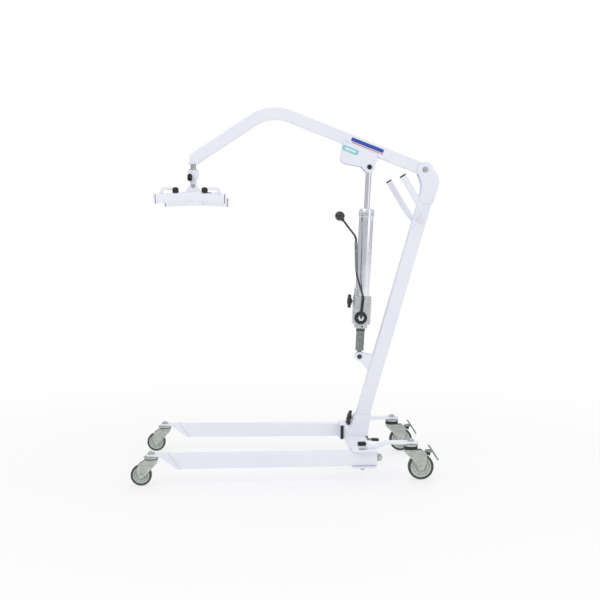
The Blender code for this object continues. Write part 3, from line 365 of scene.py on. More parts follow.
def along_y(mesh, offset=(0, 0, 0)):
    """A shape made along Z, laid along -Y."""
    return moved(mesh, offset, pi / 2, "X")


def fitted(mesh, matrix):
    """The mesh moved by a matrix."""
    mesh.transform(matrix)
    return mesh


def linked(name, data):
    """A new object in the scene."""
    made = bpy.data.objects.new(name, data)
    bpy.context.scene.collection.objects.link(made)
    return made


def shaped(base, add=(), cut=(), keep=()):
    """The base mesh with others joined to it, cutters taken from it, and only what lies in keep."""
    result = base
    for operation, meshes in (("UNION", add), ("DIFFERENCE", cut), ("INTERSECT", keep)):
        for other in meshes:
            body = linked("temporary", result)
            tool = linked("temporary", other)
            step = body.modifiers.new("shape", "BOOLEAN")
            step.operation = operation
            step.solver = "EXACT"
            step.object = tool
            bpy.context.view_layer.update()
            graph = bpy.context.evaluated_depsgraph_get()
            result = bpy.data.meshes.new_from_object(body.evaluated_get(graph))
            bpy.data.objects.remove(body)
            bpy.data.objects.remove(tool)
    bm = bmesh.new()
    bm.from_mesh(result)
    bmesh.ops.remove_doubles(bm, verts=bm.verts, dist=0.00001)
    bmesh.ops.dissolve_limit(bm, angle_limit=radians(0.5), verts=bm.verts, edges=bm.edges)
    return mesh_of(bm)


def corner_cut(spot, half, height):
    """A square cutter that takes an upright corner off at 45 degrees."""
    return moved(block((-half, -half, 0), (half, half, height)), spot, pi / 4, "Z")


def u_bracket(cheek, web, inner, outer):
    """Two upright cheeks and the web between them, from their outlines in X and Z."""
    middle = prism(web, -outer + 1 * MM, outer - 1 * MM, "Y")
    return shaped(prism(cheek, -outer, -inner, "Y"), add=[middle, prism(cheek, inner, outer, "Y")])


def bead(path, radius, closed=False):
    """A weld bead: a round run whose thickness ripples along its length."""
    pitch = 1.1 * MM
    points = []
    track = [Vector(p) for p in path]
    if closed:
        track.append(track[0])
    for a, b in zip(track, track[1:]):
        steps = max(1, round((b - a).length / pitch))
        points += [a.lerp(b, i / steps) for i in range(steps)]
    if not closed:
        points.append(track[-1])
    rings = []
    count = len(points)
    for i, point in enumerate(points):
        before = points[i - 1] if closed or i else point
        after = points[(i + 1) % count] if closed or i + 1 < count else point
        tangent = (after - before).normalized()
        side = tangent.orthogonal() if abs(tangent.z) > 0.9 else tangent.cross(Vector((0, 0, 1)))
        side.normalize()
        up = side.cross(tangent)
        end = 0.3 if not closed and i in (0, count - 1) else 1.0
        r = radius * end * (1 + 0.13 * sin(i * 2.1) + 0.05 * sin(i * 0.37))
        rings.append([point + side * r * x + up * r * y for x, y in circle(1, 10)])
    return skin(rings, closed)


# ---------------------------------------------------------------- materials


def feed(tree, socket, value):
    """Links another node's output to a socket, or sets the socket's own value."""
    if hasattr(value, "is_output"):
        tree.links.new(value, socket)
    else:
        socket.default_value = value


def node(tree, kind, **values):
    """A shader node with some of its inputs or properties set."""
    made = tree.nodes.new("ShaderNode" + kind)
    for key, value in values.items():
        name = key.replace("_", " ").title()
        if name in made.inputs:
            feed(tree, made.inputs[name], value)
        else:
            setattr(made, key, value)
    return made


def surface(name, roughness=0.4, metallic=0.0, coat=0.0):
    """A new material and its surface shader, with what is the same all over set on the shader."""
    material = bpy.data.materials.new(name)
    material.use_nodes = True
    shader = material.node_tree.nodes["Principled BSDF"]
    shader.inputs["Roughness"].default_value = roughness
    shader.inputs["Metallic"].default_value = metallic
    shader.inputs["Coat Weight"].default_value = coat
    shader.inputs["Coat Roughness"].default_value = 0.08
    return material, material.node_tree, shader


def coordinates(tree, stretch=(1, 1, 1), lean=0.0):
    """The piece's own coordinates, stretched along an axis that may lean towards +X."""
    source = node(tree, "TexCoord").outputs["Object"]
    return node(tree, "Mapping", vector=source, scale=stretch, rotation=(0, -lean, 0)).outputs["Vector"]


def noise(tree, vector, scale, detail=3.0, rough=0.55):
    """Smooth noise from 0 to 1."""
    made = node(tree, "TexNoise", vector=vector, scale=scale, detail=detail, roughness=rough)
    return made.outputs["Fac"]


def ramp(tree, fac, low, high, start=0.0, end=1.0):
    """Fac from low to high, stretched between start and end."""
    made = node(tree, "MapRange", value=fac, from_min=low, from_max=high, to_min=start, to_max=end)
    return made.outputs["Result"]


def product(tree, a, b):
    """Two masks multiplied."""
    made = node(tree, "Math", operation="MULTIPLY")
    feed(tree, made.inputs[0], a)
    feed(tree, made.inputs[1], b)
    return made.outputs["Value"]


def blend(tree, fac, first, second):
    """Two colours mixed by a mask."""
    made = node(tree, "Mix", data_type="RGBA", factor=fac)
    for socket, colour in ((made.inputs[6], first), (made.inputs[7], second)):
        feed(tree, socket, colour if hasattr(colour, "is_output") else (*colour, 1.0))
    return made.outputs[2]


def edges(tree, radius, low=0.02, high=0.25):
    """A mask that is 1 along the piece's edges and 0 on its flats."""
    soft = node(tree, "Bevel", samples=6, radius=radius)
    sharp = node(tree, "NewGeometry")
    dot = node(tree, "VectorMath", operation="DOT_PRODUCT")
    tree.links.new(soft.outputs["Normal"], dot.inputs[0])
    tree.links.new(sharp.outputs["Normal"], dot.inputs[1])
    return ramp(tree, dot.outputs["Value"], 1 - low, 1 - high)


def dress(tree, shader, colour, roughness, *layers):
    """Gives the shader its colour, its roughness and bump layers of (height, strength, depth)."""
    tree.links.new(colour, shader.inputs["Base Color"])
    tree.links.new(roughness, shader.inputs["Roughness"])
    normal = None
    for height, strength, depth in layers:
        made = node(tree, "Bump", strength=strength, distance=depth, height=height)
        if normal:
            tree.links.new(normal, made.inputs["Normal"])
        normal = made.outputs["Normal"]
    tree.links.new(normal, shader.inputs["Normal"])


def powder_coat():
    """White powder coat with a cool cast, fine orange peel, faint scuffs and greyer edges."""
    material, tree, shader = surface("white_powder_coat")
    where = coordinates(tree)
    broad = noise(tree, where, 3.0)
    cloud = noise(tree, where, 38.0, 5.0)
    peel = noise(tree, where, 620.0, 2.0)
    streaks = noise(tree, coordinates(tree, (1, 1, 0.4)), 24.0, 2.0, 0.5)
    colour = blend(tree, ramp(tree, broad, 0.3, 0.7), (0.80, 0.815, 0.90), (0.85, 0.86, 0.93))
    scuffed = product(tree, ramp(tree, cloud, 0.56, 0.78), ramp(tree, streaks, 0.55, 0.75))
    colour = blend(tree, product(tree, scuffed, 0.2), colour, (0.62, 0.63, 0.66))
    worn = product(tree, edges(tree, 1.6 * MM), ramp(tree, cloud, 0.40, 0.62))
    colour = blend(tree, product(tree, worn, 0.3), colour, (0.55, 0.56, 0.60))
    gloss = ramp(tree, cloud, 0.25, 0.8, 0.36, 0.44)
    dress(tree, shader, colour, gloss, (peel, 0.1, 0.04 * MM), (broad, 0.05, 0.6 * MM))
    return material


def weld_paint():
    """The same paint over a weld bead, a little greyer in its ripples."""
    material, tree, shader = surface("painted_weld")
    grain = noise(tree, coordinates(tree), 260.0, 4.0)
    colour = blend(tree, ramp(tree, grain, 0.35, 0.7), (0.66, 0.67, 0.72), (0.82, 0.83, 0.88))
    dress(tree, shader, colour, ramp(tree, grain, 0.2, 0.8, 0.32, 0.5), (grain, 0.3, 0.3 * MM))
    return material


def metal(name, dark, light, smooth, rough, mottle, depth=0.05 * MM, lean=0.0, drawn=1.0):
    """A bare or plated metal: mottled in tone and gloss, with hairlines along its drawn direction."""
    material, tree, shader = surface(name, metallic=1.0)
    where = coordinates(tree)
    patches = node(tree, "TexVoronoi", vector=where, scale=mottle).outputs["Distance"]
    cloud = noise(tree, where, mottle * 0.22, 5.0)
    hair = noise(tree, coordinates(tree, (1, 1, drawn), lean), 900.0, 4.0, 0.7)
    colour = blend(tree, ramp(tree, cloud, 0.3, 0.72), dark, light)
    worn = product(tree, edges(tree, 0.9 * MM), ramp(tree, hair, 0.3, 0.6))
    brighter = tuple(min(1.0, 1.25 * c) for c in light)
    colour = blend(tree, product(tree, worn, 0.7), colour, brighter)
    patchy = ramp(tree, patches, 0.0, 0.7, smooth, rough)
    gloss = product(tree, ramp(tree, hair, 0.3, 0.7, 0.75, 1.0), patchy)
    dress(tree, shader, colour, gloss, (hair, 0.12, depth), (cloud, 0.08, 4 * depth))
    return material


def plastic(name, dark, light, smooth, rough, grain, depth, coat=0.0):
    """A moulded plastic or rubber with a fine grain and paler, rubbed edges."""
    material, tree, shader = surface(name, coat=coat)
    where = coordinates(tree)
    fine = noise(tree, where, grain, 2.0)
    cloud = noise(tree, where, 55.0, 5.0)
    colour = blend(tree, ramp(tree, cloud, 0.3, 0.7), dark, light)
    worn = product(tree, edges(tree, 0.9 * MM), ramp(tree, cloud, 0.35, 0.65))
    paler = tuple(min(1.0, 2.2 * c + 0.02) for c in light)
    colour = blend(tree, product(tree, worn, 0.5), colour, paler)
    dress(tree, shader, colour, ramp(tree, cloud, 0.2, 0.8, smooth, rough), (fine, 0.35, depth))
    return material


def label(name, colour, faded):
    """Printed film: its ink is a little uneven and its surface faintly rippled."""
    material, tree, shader = surface(name, coat=0.4)
    where = coordinates(tree)
    cloud = noise(tree, where, 70.0, 5.0)
    speck = noise(tree, where, 900.0, 2.0)
    ink = blend(tree, ramp(tree, cloud, 0.45, 0.8), colour, faded)
    dress(tree, shader, ink, ramp(tree, speck, 0.2, 0.8, 0.22, 0.38), (cloud, 0.1, 0.2 * MM))
    return material


WHITE = powder_coat()
WELD = weld_paint()
CHROME = metal(
    "bright_chrome", (0.80, 0.81, 0.84), (0.90, 0.91, 0.94), 0.10, 0.20, 60, 0.01 * MM, RAM_LEAN, 0.02
)
CAST = metal("cast_alloy", (0.52, 0.54, 0.55), (0.68, 0.70, 0.71), 0.22, 0.36, 260, 0.06 * MM)
ZINC = metal("zinc_plate", (0.40, 0.43, 0.39), (0.60, 0.63, 0.59), 0.26, 0.42, 170)
DARK = metal("dark_steel", (0.045, 0.048, 0.052), (0.11, 0.115, 0.12), 0.28, 0.45, 140)
STEEL = metal("lever_steel", (0.20, 0.23, 0.22), (0.34, 0.38, 0.36), 0.24, 0.38, 150, drawn=0.05)
BLACK = plastic("black_plastic", (0.010, 0.010, 0.011), (0.020, 0.020, 0.022), 0.26, 0.42, 1400, 0.08 * MM)
BALL = plastic("black_ball", (0.006, 0.006, 0.007), (0.010, 0.010, 0.011), 0.06, 0.14, 500, 0.01 * MM, 0.6)
RUBBER = plastic("black_rubber", (0.014, 0.014, 0.014), (0.028, 0.028, 0.027), 0.60, 0.80, 1100, 0.15 * MM)
TYRE = plastic("grey_tyre", (0.040, 0.045, 0.038), (0.070, 0.076, 0.064), 0.48, 0.68, 1300, 0.12 * MM)
HUB = plastic("wheel_centre", (0.46, 0.50, 0.46), (0.60, 0.64, 0.60), 0.30, 0.46, 900, 0.05 * MM, 0.1)
BLUE = label("blue_film", (0.015, 0.07, 0.40), (0.04, 0.12, 0.48))
RED = label("red_film", (0.55, 0.02, 0.03), (0.62, 0.08, 0.08))
CYAN = label("cyan_film", (0.20, 0.62, 0.68), (0.40, 0.74, 0.78))
PALE = label("pale_film", (0.72, 0.80, 0.84), (0.80, 0.86, 0.88))


def piece(name, mesh, look, body, *stands_for, bevel=0.0, steps=2, limit=32):
    """A finished piece: its mesh in place, its material, softened edges and the body that it rides on."""
    mesh.name = name
    made = linked(name, mesh)
    mesh.materials.clear()
    mesh.materials.append(look)
    if bevel:
        edge = made.modifiers.new("edges", "BEVEL")
        edge.width = bevel
        edge.segments = steps
        edge.limit_method = "ANGLE"
        edge.angle_limit = radians(limit)
        edge.harden_normals = True
    else:
        flats = made.modifiers.new("flats", "WEIGHTED_NORMAL")
        flats.keep_sharp = True
    mesh.shade_smooth()
    mesh.set_sharp_from_angle(angle=radians(limit))
    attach(made, body)
    if stands_for:
        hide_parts(*stands_for)
    return made


# ---------------------------------------------------------------- base


def cross_beam():
    """The cross beam: a closed middle whose ends open into clevises for the legs."""
    low, high = BEAM_LOW.z, BEAM_HIGH.z
    front, rear = BEAM_LOW.x, BEAM_HIGH.x
    pivot = place("leg_spread_far")
    web = pivot.y - 66 * MM
    end = BEAM_HIGH.y
    inner_low, inner_high = low + BEAM_WALL, high - BEAM_WALL
    outline = [(-end, low), (end, low), (end, inner_low), (web, inner_low), (web, inner_high)]
    outline += [(end, inner_high), (end, high), (-end, high), (-end, inner_high)]
    outline += [(-web, inner_high), (-web, inner_low), (-end, inner_low)]
    body = prism(outline, front, rear, "X")
    inset = web - 6 * MM
    deep = 20 * MM
    cuts = [block((front - deep, -inset, 0), (pivot.x - BEAM_FRONT, inset, 2 * high))]
    cuts.append(block((pivot.x + BEAM_REAR, -inset, 0), (rear + deep, inset, 2 * high)))
    for _, side in SIDES:
        for end_x in (front, rear):
            cuts.append(corner_cut((end_x, side * (end + 2 * MM), 0), 12 * MM, 2 * high))
    piece("cross_beam", shaped(body, cut=cuts), WHITE, "base", "base_cross_beam", bevel=1.2 * MM)
    for name, side in SIDES:
        # Painted shadow: this black strip on the beam's inner face beside each leg stands in for the shade in
        # the gap where the leg enters the beam.
        strip = prism(rounded(13 * MM, 58 * MM, 2 * MM), -1.4 * MM, 1.4 * MM, "Y")
        spot = (front + 8.5 * MM, side * (inset - 1.6 * MM), (low + high) / 2)
        piece(f"gap_shadow_strip_{name}", moved(strip, spot), RUBBER, "base", bevel=0.6 * MM)
        for level, z in (("low", inner_low), ("high", inner_high)):
            run = [(front + 2 * MM, side * web, z), (rear - 2 * MM, side * web, z)]
            piece(f"web_weld_{level}_{name}", bead(run, 2 * MM), WELD, "base")


def bolts():
    """Pivot bolts with low round heads, washers and locking nuts, and the black oval caps."""
    for name, side in SIDES:
        pivot = place(f"leg_spread_{name}")
        top, low = BEAM_HIGH.z + GAP, BEAM_LOW.z - GAP
        head = [(0, top), (16 * MM, top), (16 * MM, top + 1.4 * MM), (12.6 * MM, top + 1.4 * MM)]
        head += [(11.5 * MM, top + 2.8 * MM), (8 * MM, top + 3.8 * MM), (0, top + 4 * MM)]
        socket = hexagon(8 * MM, top + 2 * MM, top + 9 * MM)
        bolt = shaped(turned(head, 0.4 * MM), cut=[socket])
        washer = rod(12.5 * MM, low - 2 * MM, low, chamfer=0.4 * MM)
        nut = hexagon(17 * MM, low - 11 * MM, low - 2 * MM)
        tip = rod(7.5 * MM, low - 14 * MM, low - 10 * MM)
        shank = rod(7.8 * MM, low - 1 * MM, top + 1 * MM, 32)
        parts = (("head", bolt), ("washer", washer), ("nut", nut), ("end", tip), ("shank", shank))
        for part, mesh in parts:
            stood = ("leg_pivot_bolt_" + name,) if part == "head" else ()
            piece(f"pivot_{part}_{name}", moved(mesh, (pivot.x, pivot.y, 0)), ZINC, "base", *stood)
        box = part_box(f"beam_cap_{name}")
        cap = prism(rounded(34 * MM, 15 * MM, 7 * MM), -9 * MM, 9 * MM, "Y")
        cap = moved(cap, (box[0] + box[1]) / 2)
        piece(f"oval_cap_{name}", cap, BLACK, "base", f"beam_cap_{name}", bevel=2.2 * MM, steps=4)


def rear_arms():
    """Flat bars that step up from the cross beam's ends and carry the rear casters."""
    for name, side in SIDES:
        low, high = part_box(f"rear_arm_{name}")
        y = (low.y + high.y) / 2
        start = low.z + ARM_THICK / 2
        raised = high.z - ARM_THICK / 2
        step = BEAM_HIGH.x + 4 * MM
        path = [(low.x, y, start), (step, y, start), (step + 40 * MM, y, raised), (high.x, y, raised)]
        profile = rounded(ARM_WIDTH, ARM_THICK, 2.4 * MM, 6)
        bar = sweep(rounded_path(path, 30 * MM, 12), profile, (0, 1, 0), 1.2 * MM)
        reach = ARM_WIDTH / 2 + 1.5 * MM
        corners = [corner_cut((high.x + 1.5 * MM, y + end * reach, 0), 9 * MM, 2 * raised) for end in (-1, 1)]
        piece(f"caster_arm_{name}", shaped(bar, cut=corners), WHITE, "base", f"rear_arm_{name}")
        inside = y - side * (ARM_WIDTH / 2 + 0.6 * MM)
        outside = y + side * (ARM_WIDTH / 2 + 0.6 * MM)
        inward, outward = BEAM_HIGH.x - 1 * MM, low.x - 1 * MM
        run = [(inward, inside, low.z), (outward, inside, low.z), (outward, outside, low.z)]
        run.append((inward, outside, low.z))
        piece(f"arm_weld_{name}", bead(run, 2.2 * MM), WELD, "base")


# ---------------------------------------------------------------- legs


def legs():
    """The spreading legs: rectangular tubes with a folded end plate, welds and a rear bolt."""
    for name, side in SIDES:
        pivot = place(f"leg_spread_{name}")
        body = f"leg_{name}"
        swivel = place(f"front_caster_swivel_{name}")
        way = Vector((pivot.x - swivel.x, pivot.y - swivel.y, 0))
        reach = way.length
        top = LEG_HIGH.z
        low = LEG_LOW.z
        middle = (top + low) / 2
        on_leg = frame_at((pivot.x, pivot.y, 0), atan2(way.y, way.x), "Z")
        cut_high = reach - 68 * MM
        cut_low = cut_high - 43 * MM

        def ring(inset, front):
            """The tube's outline: square at the rear, sloping where its front is cut."""
            points = []
            for y, z in rounded(LEG_WIDTH - 2 * inset, LEG_HEIGHT - 2 * inset, LEG_CORNER_R, 8):
                share = (z + LEG_HEIGHT / 2) / LEG_HEIGHT
                x = -(cut_low + (cut_high - cut_low) * share) if front else LEG_REAR
                points.append(Vector((x, y, middle + z)))
            return points

        rear_full = [p - Vector((1.2 * MM, 0, 0)) for p in ring(0, False)]
        rings = [ring(1.2 * MM, False), rear_full, ring(0, True)]
        piece(f"leg_tube_{name}", fitted(skin(rings), on_leg), WHITE, body, f"leg_{name}")

        seam = [p - Vector((0.5 * MM, 0, 0)) for p in ring(-0.1 * MM, True)]
        piece(f"leg_weld_{name}", fitted(bead(seam, 2 * MM, True), on_leg), WELD, body)

        flat = reach - 31 * MM
        under = low - 1 * MM
        slope_end = cut_low + 13 * MM
        outline = [(-reach - 18 * MM, top), (-reach - 18 * MM, top - TIP_THICK), (-flat, top - TIP_THICK)]
        outline += [(-slope_end, under), (-cut_low - GAP - 0.8 * MM, under), (-cut_high - GAP, top)]
        edge = LEG_WIDTH / 2 + 1.5 * MM
        corners = [corner_cut((-reach - 19.5 * MM, end * edge, 0), 8 * MM, 2 * top) for end in (-1, 1)]
        plate = shaped(prism(outline, -LEG_WIDTH / 2, LEG_WIDTH / 2, "Y"), cut=corners)
        piece(f"leg_end_plate_{name}", fitted(plate, on_leg), WHITE, body, f"leg_tip_{name}", bevel=1.2 * MM)

        washer = rod(17 * MM, 0, 3 * MM, chamfer=0.6 * MM)
        spring = rod(13 * MM, 3 * MM, 5 * MM, chamfer=0.5 * MM)
        head = hexagon(26 * MM, 5 * MM, 17 * MM)
        stub = rod(8 * MM, 16 * MM, 21 * MM, chamfer=1.6 * MM)
        parts = (("washer", washer), ("spring_washer", spring), ("bolt_head", head), ("bolt_end", stub))
        for part, mesh in parts:
            stood = (f"leg_end_bolt_{name}",) if part == "washer" else ()
            mesh = along_x(mesh, (LEG_REAR + GAP, 0, middle))
            piece(f"leg_{part}_{name}", fitted(mesh, on_leg), ZINC, body, *stood)


# ---------------------------------------------------------------- casters


def front_plate(radius, trail, high):
    """Side of a front fork, about the swivel axis."""
    outline = [(-20 * MM, high), (-24 * MM, high - 9 * MM), (18 * MM, radius + 2 * MM)]
    outline += circle(12 * MM, 24, (trail, radius), radians(190), radians(350))
    outline += [(56 * MM, radius + 22 * MM), (46 * MM, radius + 44 * MM), (23 * MM, high)]
    return outline


def rear_plate(radius, trail, high):
    """Side of a rear fork: a leaf that covers the wheel's upper quarter."""
    outline = [(-22 * MM, high), (-25 * MM, high - 8 * MM)]
    outline += [(3 * MM, radius + 32 * MM), (22 * MM, radius + 6 * MM)]
    outline += circle(14 * MM, 24, (trail, radius), radians(200), radians(350))
    outline += [(64 * MM, radius + 32 * MM), (60 * MM, radius + 54 * MM)]
    outline += [(44 * MM, radius + 67 * MM), (24 * MM, high)]
    return outline


def caster(end, name, plate_of, low, head_r, nut_across):
    """One caster: its fork with ball race, axle bolt, stem nut, wheel centre and tyre."""
    swivel = place(f"{end}_caster_swivel_{name}")
    centre = place(f"{end}_wheel_spin_{name}")
    fork_body, wheel_body = f"{end}_caster_{name}", f"{end}_wheel_{name}"
    fork_node = f"{end}_fork_{name}"
    radius = centre.z
    way = centre - swivel
    trail = Vector((way.x, way.y, 0)).length
    on_fork = frame_at((swivel.x, swivel.y, 0), atan2(way.y, way.x), "Z")
    nut_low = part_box(fork_node)[1].z - STEM_NUT
    top = nut_low - (TIP_THICK if end == "front" else ARM_THICK) - 2 * GAP
    outer = FORK_GAP + FORK_PLATE

    outline = plate_of(radius, trail, low + 5 * MM)
    web = block((-20 * MM, -outer, low + 1 * MM), (22 * MM, outer, low + 5 * MM))
    sides = [prism(outline, FORK_GAP, outer, "Y"), prism(outline, -outer, -FORK_GAP, "Y")]
    fork = fitted(shaped(web, add=sides), on_fork)
    piece(f"{end}_fork_sides_{name}", fork, ZINC, fork_body, fork_node, bevel=0.9 * MM, limit=40)

    race = [(0, low), (head_r - 6 * MM, low), (head_r - 3 * MM, low + 3 * MM)]
    race += [(head_r - 2.5 * MM, low + 7 * MM), (head_r - 5 * MM, low + 8 * MM)]
    race += [(head_r - 5 * MM, top - 9 * MM), (head_r, top - 8 * MM)]
    race += [(head_r, top - 2 * MM), (head_r - 2 * MM, top), (0, top)]
    piece(f"{end}_race_{name}", fitted(turned(race, 0.9 * MM), on_fork), ZINC, fork_body)
    seal = [(head_r - 4.6 * MM, top - 9 * MM), (head_r - 1.2 * MM, top - 9.6 * MM)]
    seal += [(head_r - 1.2 * MM, low + 8.6 * MM), (head_r - 4.6 * MM, low + 8 * MM)]
    if top - low > 18 * MM:
        piece(f"{end}_race_seal_{name}", fitted(lathe(seal, 64, True), on_fork), RUBBER, fork_body)

    nut = hexagon(nut_across, nut_low, nut_low + 5 * MM)
    dome = [(0, nut_low + 4 * MM), (nut_across * 0.42, nut_low + 4 * MM)]
    dome += [(nut_across * 0.36, nut_low + 8 * MM), (nut_across * 0.2, nut_low + 10.5 * MM)]
    dome = turned(dome + [(0, nut_low + STEM_NUT)], 1.5 * MM)
    stem = rod(STEM_R - 0.1 * MM, top - 1 * MM, nut_low + 1 * MM)
    for part, mesh in (("nut", nut), ("dome", dome), ("stem", stem)):
        piece(f"{end}_stem_{part}_{name}", fitted(mesh, on_fork), ZINC, fork_body)

    axle = frame_at((trail, 0, radius), pi / 2, "X")
    parts = [("shaft", rod(AXLE_R - 0.1 * MM, -outer - 1 * MM, outer + 1 * MM))]
    face = outer + 0.2 * MM
    seat = face + 1.2 * MM
    for part, turn in (("head", 0), ("lock_nut", pi)):
        washer = moved(rod(8.5 * MM, face, seat, chamfer=0.3 * MM), turn=turn, axis="X")
        hexed = moved(hexagon(13 * MM, seat, seat + 4 * MM), turn=turn, axis="X")
        parts += [(f"{part}_washer", washer), (part, hexed)]
    for part, mesh in parts:
        piece(f"{end}_axle_{part}_{name}", fitted(fitted(mesh, axle), on_fork), ZINC, fork_body)

    on_wheel = frame_at(centre, pi / 2, "X")
    rim = radius - (8 * MM if end == "front" else 9 * MM)
    tyre = fitted(lathe(tyre_profile(radius, rim), 96, True), on_wheel)
    piece(f"{end}_wheel_tyre_{name}", tyre, TYRE, wheel_body, f"{end}_tyre_{name}")
    hub = fitted(lathe(hub_profile(rim), 96, True), on_wheel)
    piece(f"{end}_wheel_centre_{name}", hub, HUB, wheel_body, f"{end}_hub_{name}")


def tyre_profile(radius, rim):
    """A tyre's section, with round shoulders and a shallow line around its tread."""
    half = TYRE_HALF
    profile = [(rim, -half + 1 * MM), (rim + 1.2 * MM, -half), (radius - 5 * MM, -half)]
    profile += circle(3.4 * MM, 8, (radius - 3.6 * MM, -half + 3.6 * MM), radians(-80), radians(-8))
    profile += [(radius, -half + 6 * MM), (radius, -1.2 * MM), (radius - 0.5 * MM, -0.6 * MM)]
    return profile + [(r, -z) for r, z in reversed(profile)]


def hub_profile(rim):
    """A wheel centre's section: its hub, two grooves and the rim under the tyre."""
    face = -FORK_GAP + 0.6 * MM
    groove, ring = -3.5 * MM, -9 * MM
    side = [(AXLE_R + GAP, face), (8 * MM, face), (9 * MM, -FORK_GAP + 1.6 * MM)]
    side += [(11 * MM, -FORK_GAP + 1.8 * MM), (12 * MM, ring), (13.5 * MM, groove)]
    side += [(rim * 0.50, groove), (rim * 0.55, ring), (rim * 0.64, ring), (rim * 0.68, groove)]
    side += [(rim * 0.80, groove), (rim * 0.86, -10 * MM)]
    side += [(rim - 1.5 * MM, -10.4 * MM), (rim - GAP, -9.6 * MM)]
    side = eased(side, 1.0 * MM)
    return side + [(r, -z) for r, z in reversed(side)]


def brake(name):
    """A rear caster's foot brake: a bent two-ended lever, its pressed web and the rubber shoe."""
    pivot = place(f"brake_press_{name}")
    body = f"brake_{name}"
    half = FORK_GAP - 1.0 * MM
    lever = mm((5, 22), (11.5, 23), (20, 10), (28, -2), (38, -18), (48, -34), (43, -37), (33, -21))
    lever += mm((22.5, -4), (13.5, 9.5))
    web = mm((-2, 5), (-6, 0), (-4, -4.5), (1, -5.5), (25, -5), (26, 0), (20, 5))
    shoe = mm((-1, -4), (-3, -12), (13, -18), (15, -4))
    blade = shaped(prism(lever, -half, half, "Y"), add=[prism(web, -half + 4 * MM, half - 4 * MM, "Y")])
    piece(f"brake_lever_{name}", moved(blade, pivot), STEEL, body, f"brake_pedal_{name}", bevel=0.8 * MM)
    pad = moved(prism(shoe, -half + 2 * MM, half - 2 * MM, "Y"), pivot)
    piece(f"brake_shoe_{name}", pad, RUBBER, body, bevel=1.2 * MM)
    for k in range(4):
        along = Vector((11.2 * MM + 2.0 * MM * k, 0, 20.6 * MM - 3.0 * MM * k))
        rib = along_y(rod(0.9 * MM, -half + 3 * MM, half - 3 * MM, 16, 0.3 * MM), pivot + along)
        piece(f"brake_rib_{k}_{name}", rib, DARK, body)


def casters():
    """Two front and two rear casters, each rear one with its brake."""
    for name, _ in SIDES:
        front_low = 2 * place(f"front_wheel_spin_{name}").z + 13 * MM
        rear_low = 2 * place(f"rear_wheel_spin_{name}").z + 12 * MM
        caster("front", name, front_plate, front_low, 28 * MM, 24 * MM)
        caster("rear", name, rear_plate, rear_low, 29 * MM, 23 * MM)
        brake(name)


# ---------------------------------------------------------------- mast


def mast_x(z):
    """The mast's centre line at a height."""
    return MAST_MIDDLE.x + (z - MAST_MIDDLE.z) * tan(MAST_LEAN)


def star_knob(name, at, body, node_name, radius, screw_end):
    """A six-lobed hand knob facing +Z of a matrix, with a rounded face, a neck and a metal insert."""
    thick = 13 * MM
    grip = prism(star(radius, 8 * MM, 6), 0, thick)
    piece(f"{name}_grip", fitted(grip, at), BLACK, body, node_name, bevel=3.2 * MM, steps=5, limit=50)
    dish = [(0, thick - 1 * MM), (radius * 0.52, thick - 1 * MM), (radius * 0.5, thick + 1.4 * MM)]
    dish += [(radius * 0.36, thick + 2.5 * MM), (0, thick + 2.3 * MM)]
    piece(f"{name}_face", fitted(turned(dish, 1.0 * MM), at), BLACK, body)
    insert = hexagon(radius * 0.42, thick + 1 * MM, thick + 2.9 * MM)
    piece(f"{name}_insert", fitted(insert, at), ZINC, body)
    neck = turned([(0, -4 * MM), (radius * 0.34, -4 * MM), (radius * 0.42, 1 * MM), (0, 1 * MM)], 0.8 * MM)
    piece(f"{name}_neck", fitted(neck, at), BLACK, body)
    piece(f"{name}_screw", fitted(rod(4.6 * MM, screw_end, -3 * MM), at), ZINC, body)


def mast():
    """The leaning rectangular tube, its socket on the cross beam and the clamping knob."""
    half = MAST_LENGTH / 2
    outline = [(b, a) for a, b in rounded(MAST_WIDTH, MAST_DEPTH, 5 * MM, 10)]
    small = [(x * 0.96, y * 0.95) for x, y in outline]
    ease = 1.2 * MM
    rings = [[(x, y, -half) for x, y in small], [(x, y, -half + ease) for x, y in outline]]
    rings += [[(x, y, half - ease) for x, y in outline], [(x, y, half) for x, y in small]]
    piece("mast_column", fitted(skin(rings), ON_MAST), WHITE, "mast", "mast_tube")

    floor = BEAM_HIGH.z + GAP
    socket_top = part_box("mast_foot")[1].z
    width = MAST_WIDTH / 2 + 6 * MM
    pivot_x = place("leg_spread_near").x
    front, rear = pivot_x - BEAM_FRONT, pivot_x + BEAM_REAR
    clear = MAST_DEPTH / 2 / cos(MAST_LEAN) + 5 * MM
    front_top, rear_top = mast_x(socket_top) - clear, mast_x(socket_top) + clear
    outline = [(front - 2 * MM, floor), (rear + 12 * MM, floor), (rear + 16 * MM, floor + 30 * MM)]
    outline += [(rear_top, socket_top), (front_top, socket_top), (front_top - 14 * MM, floor + 42 * MM)]
    outline += [(front - 4 * MM, floor + 12 * MM)]
    body = prism(outline, -width, width, "Y")
    hollow = [(b, a) for a, b in rounded(MAST_WIDTH + 2 * GAP, MAST_DEPTH + 2 * GAP, 5.3 * MM, 10)]
    cavity = fitted(prism(hollow, -half - GAP, 0), ON_MAST)
    socket = shaped(body, cut=[cavity])
    piece("mast_socket", socket, WHITE, "base", "mast_foot", bevel=2.4 * MM, steps=4, limit=25)

    on_knob = frame_at(place("mast_knob_turn"), MAST_LEAN - pi / 2)
    collar = drum(21 * MM, -16 * MM, -8.6 * MM, 1.5 * MM)
    piece("knob_boss", fitted(collar, on_knob), WHITE, "base")
    star_knob("mast_knob", on_knob, "mast_knob", "mast_star_knob", 29 * MM, -12 * MM)

    corners = ((-0.9, -1), (1.15, -1), (1.15, 1), (-0.9, 1))
    run = [(pivot_x + 6.5 * MM + 38 * MM * a, width * 1.02 * b, floor) for a, b in corners]
    piece("foot_weld", bead(run, 2.4 * MM, True), WELD, "base")


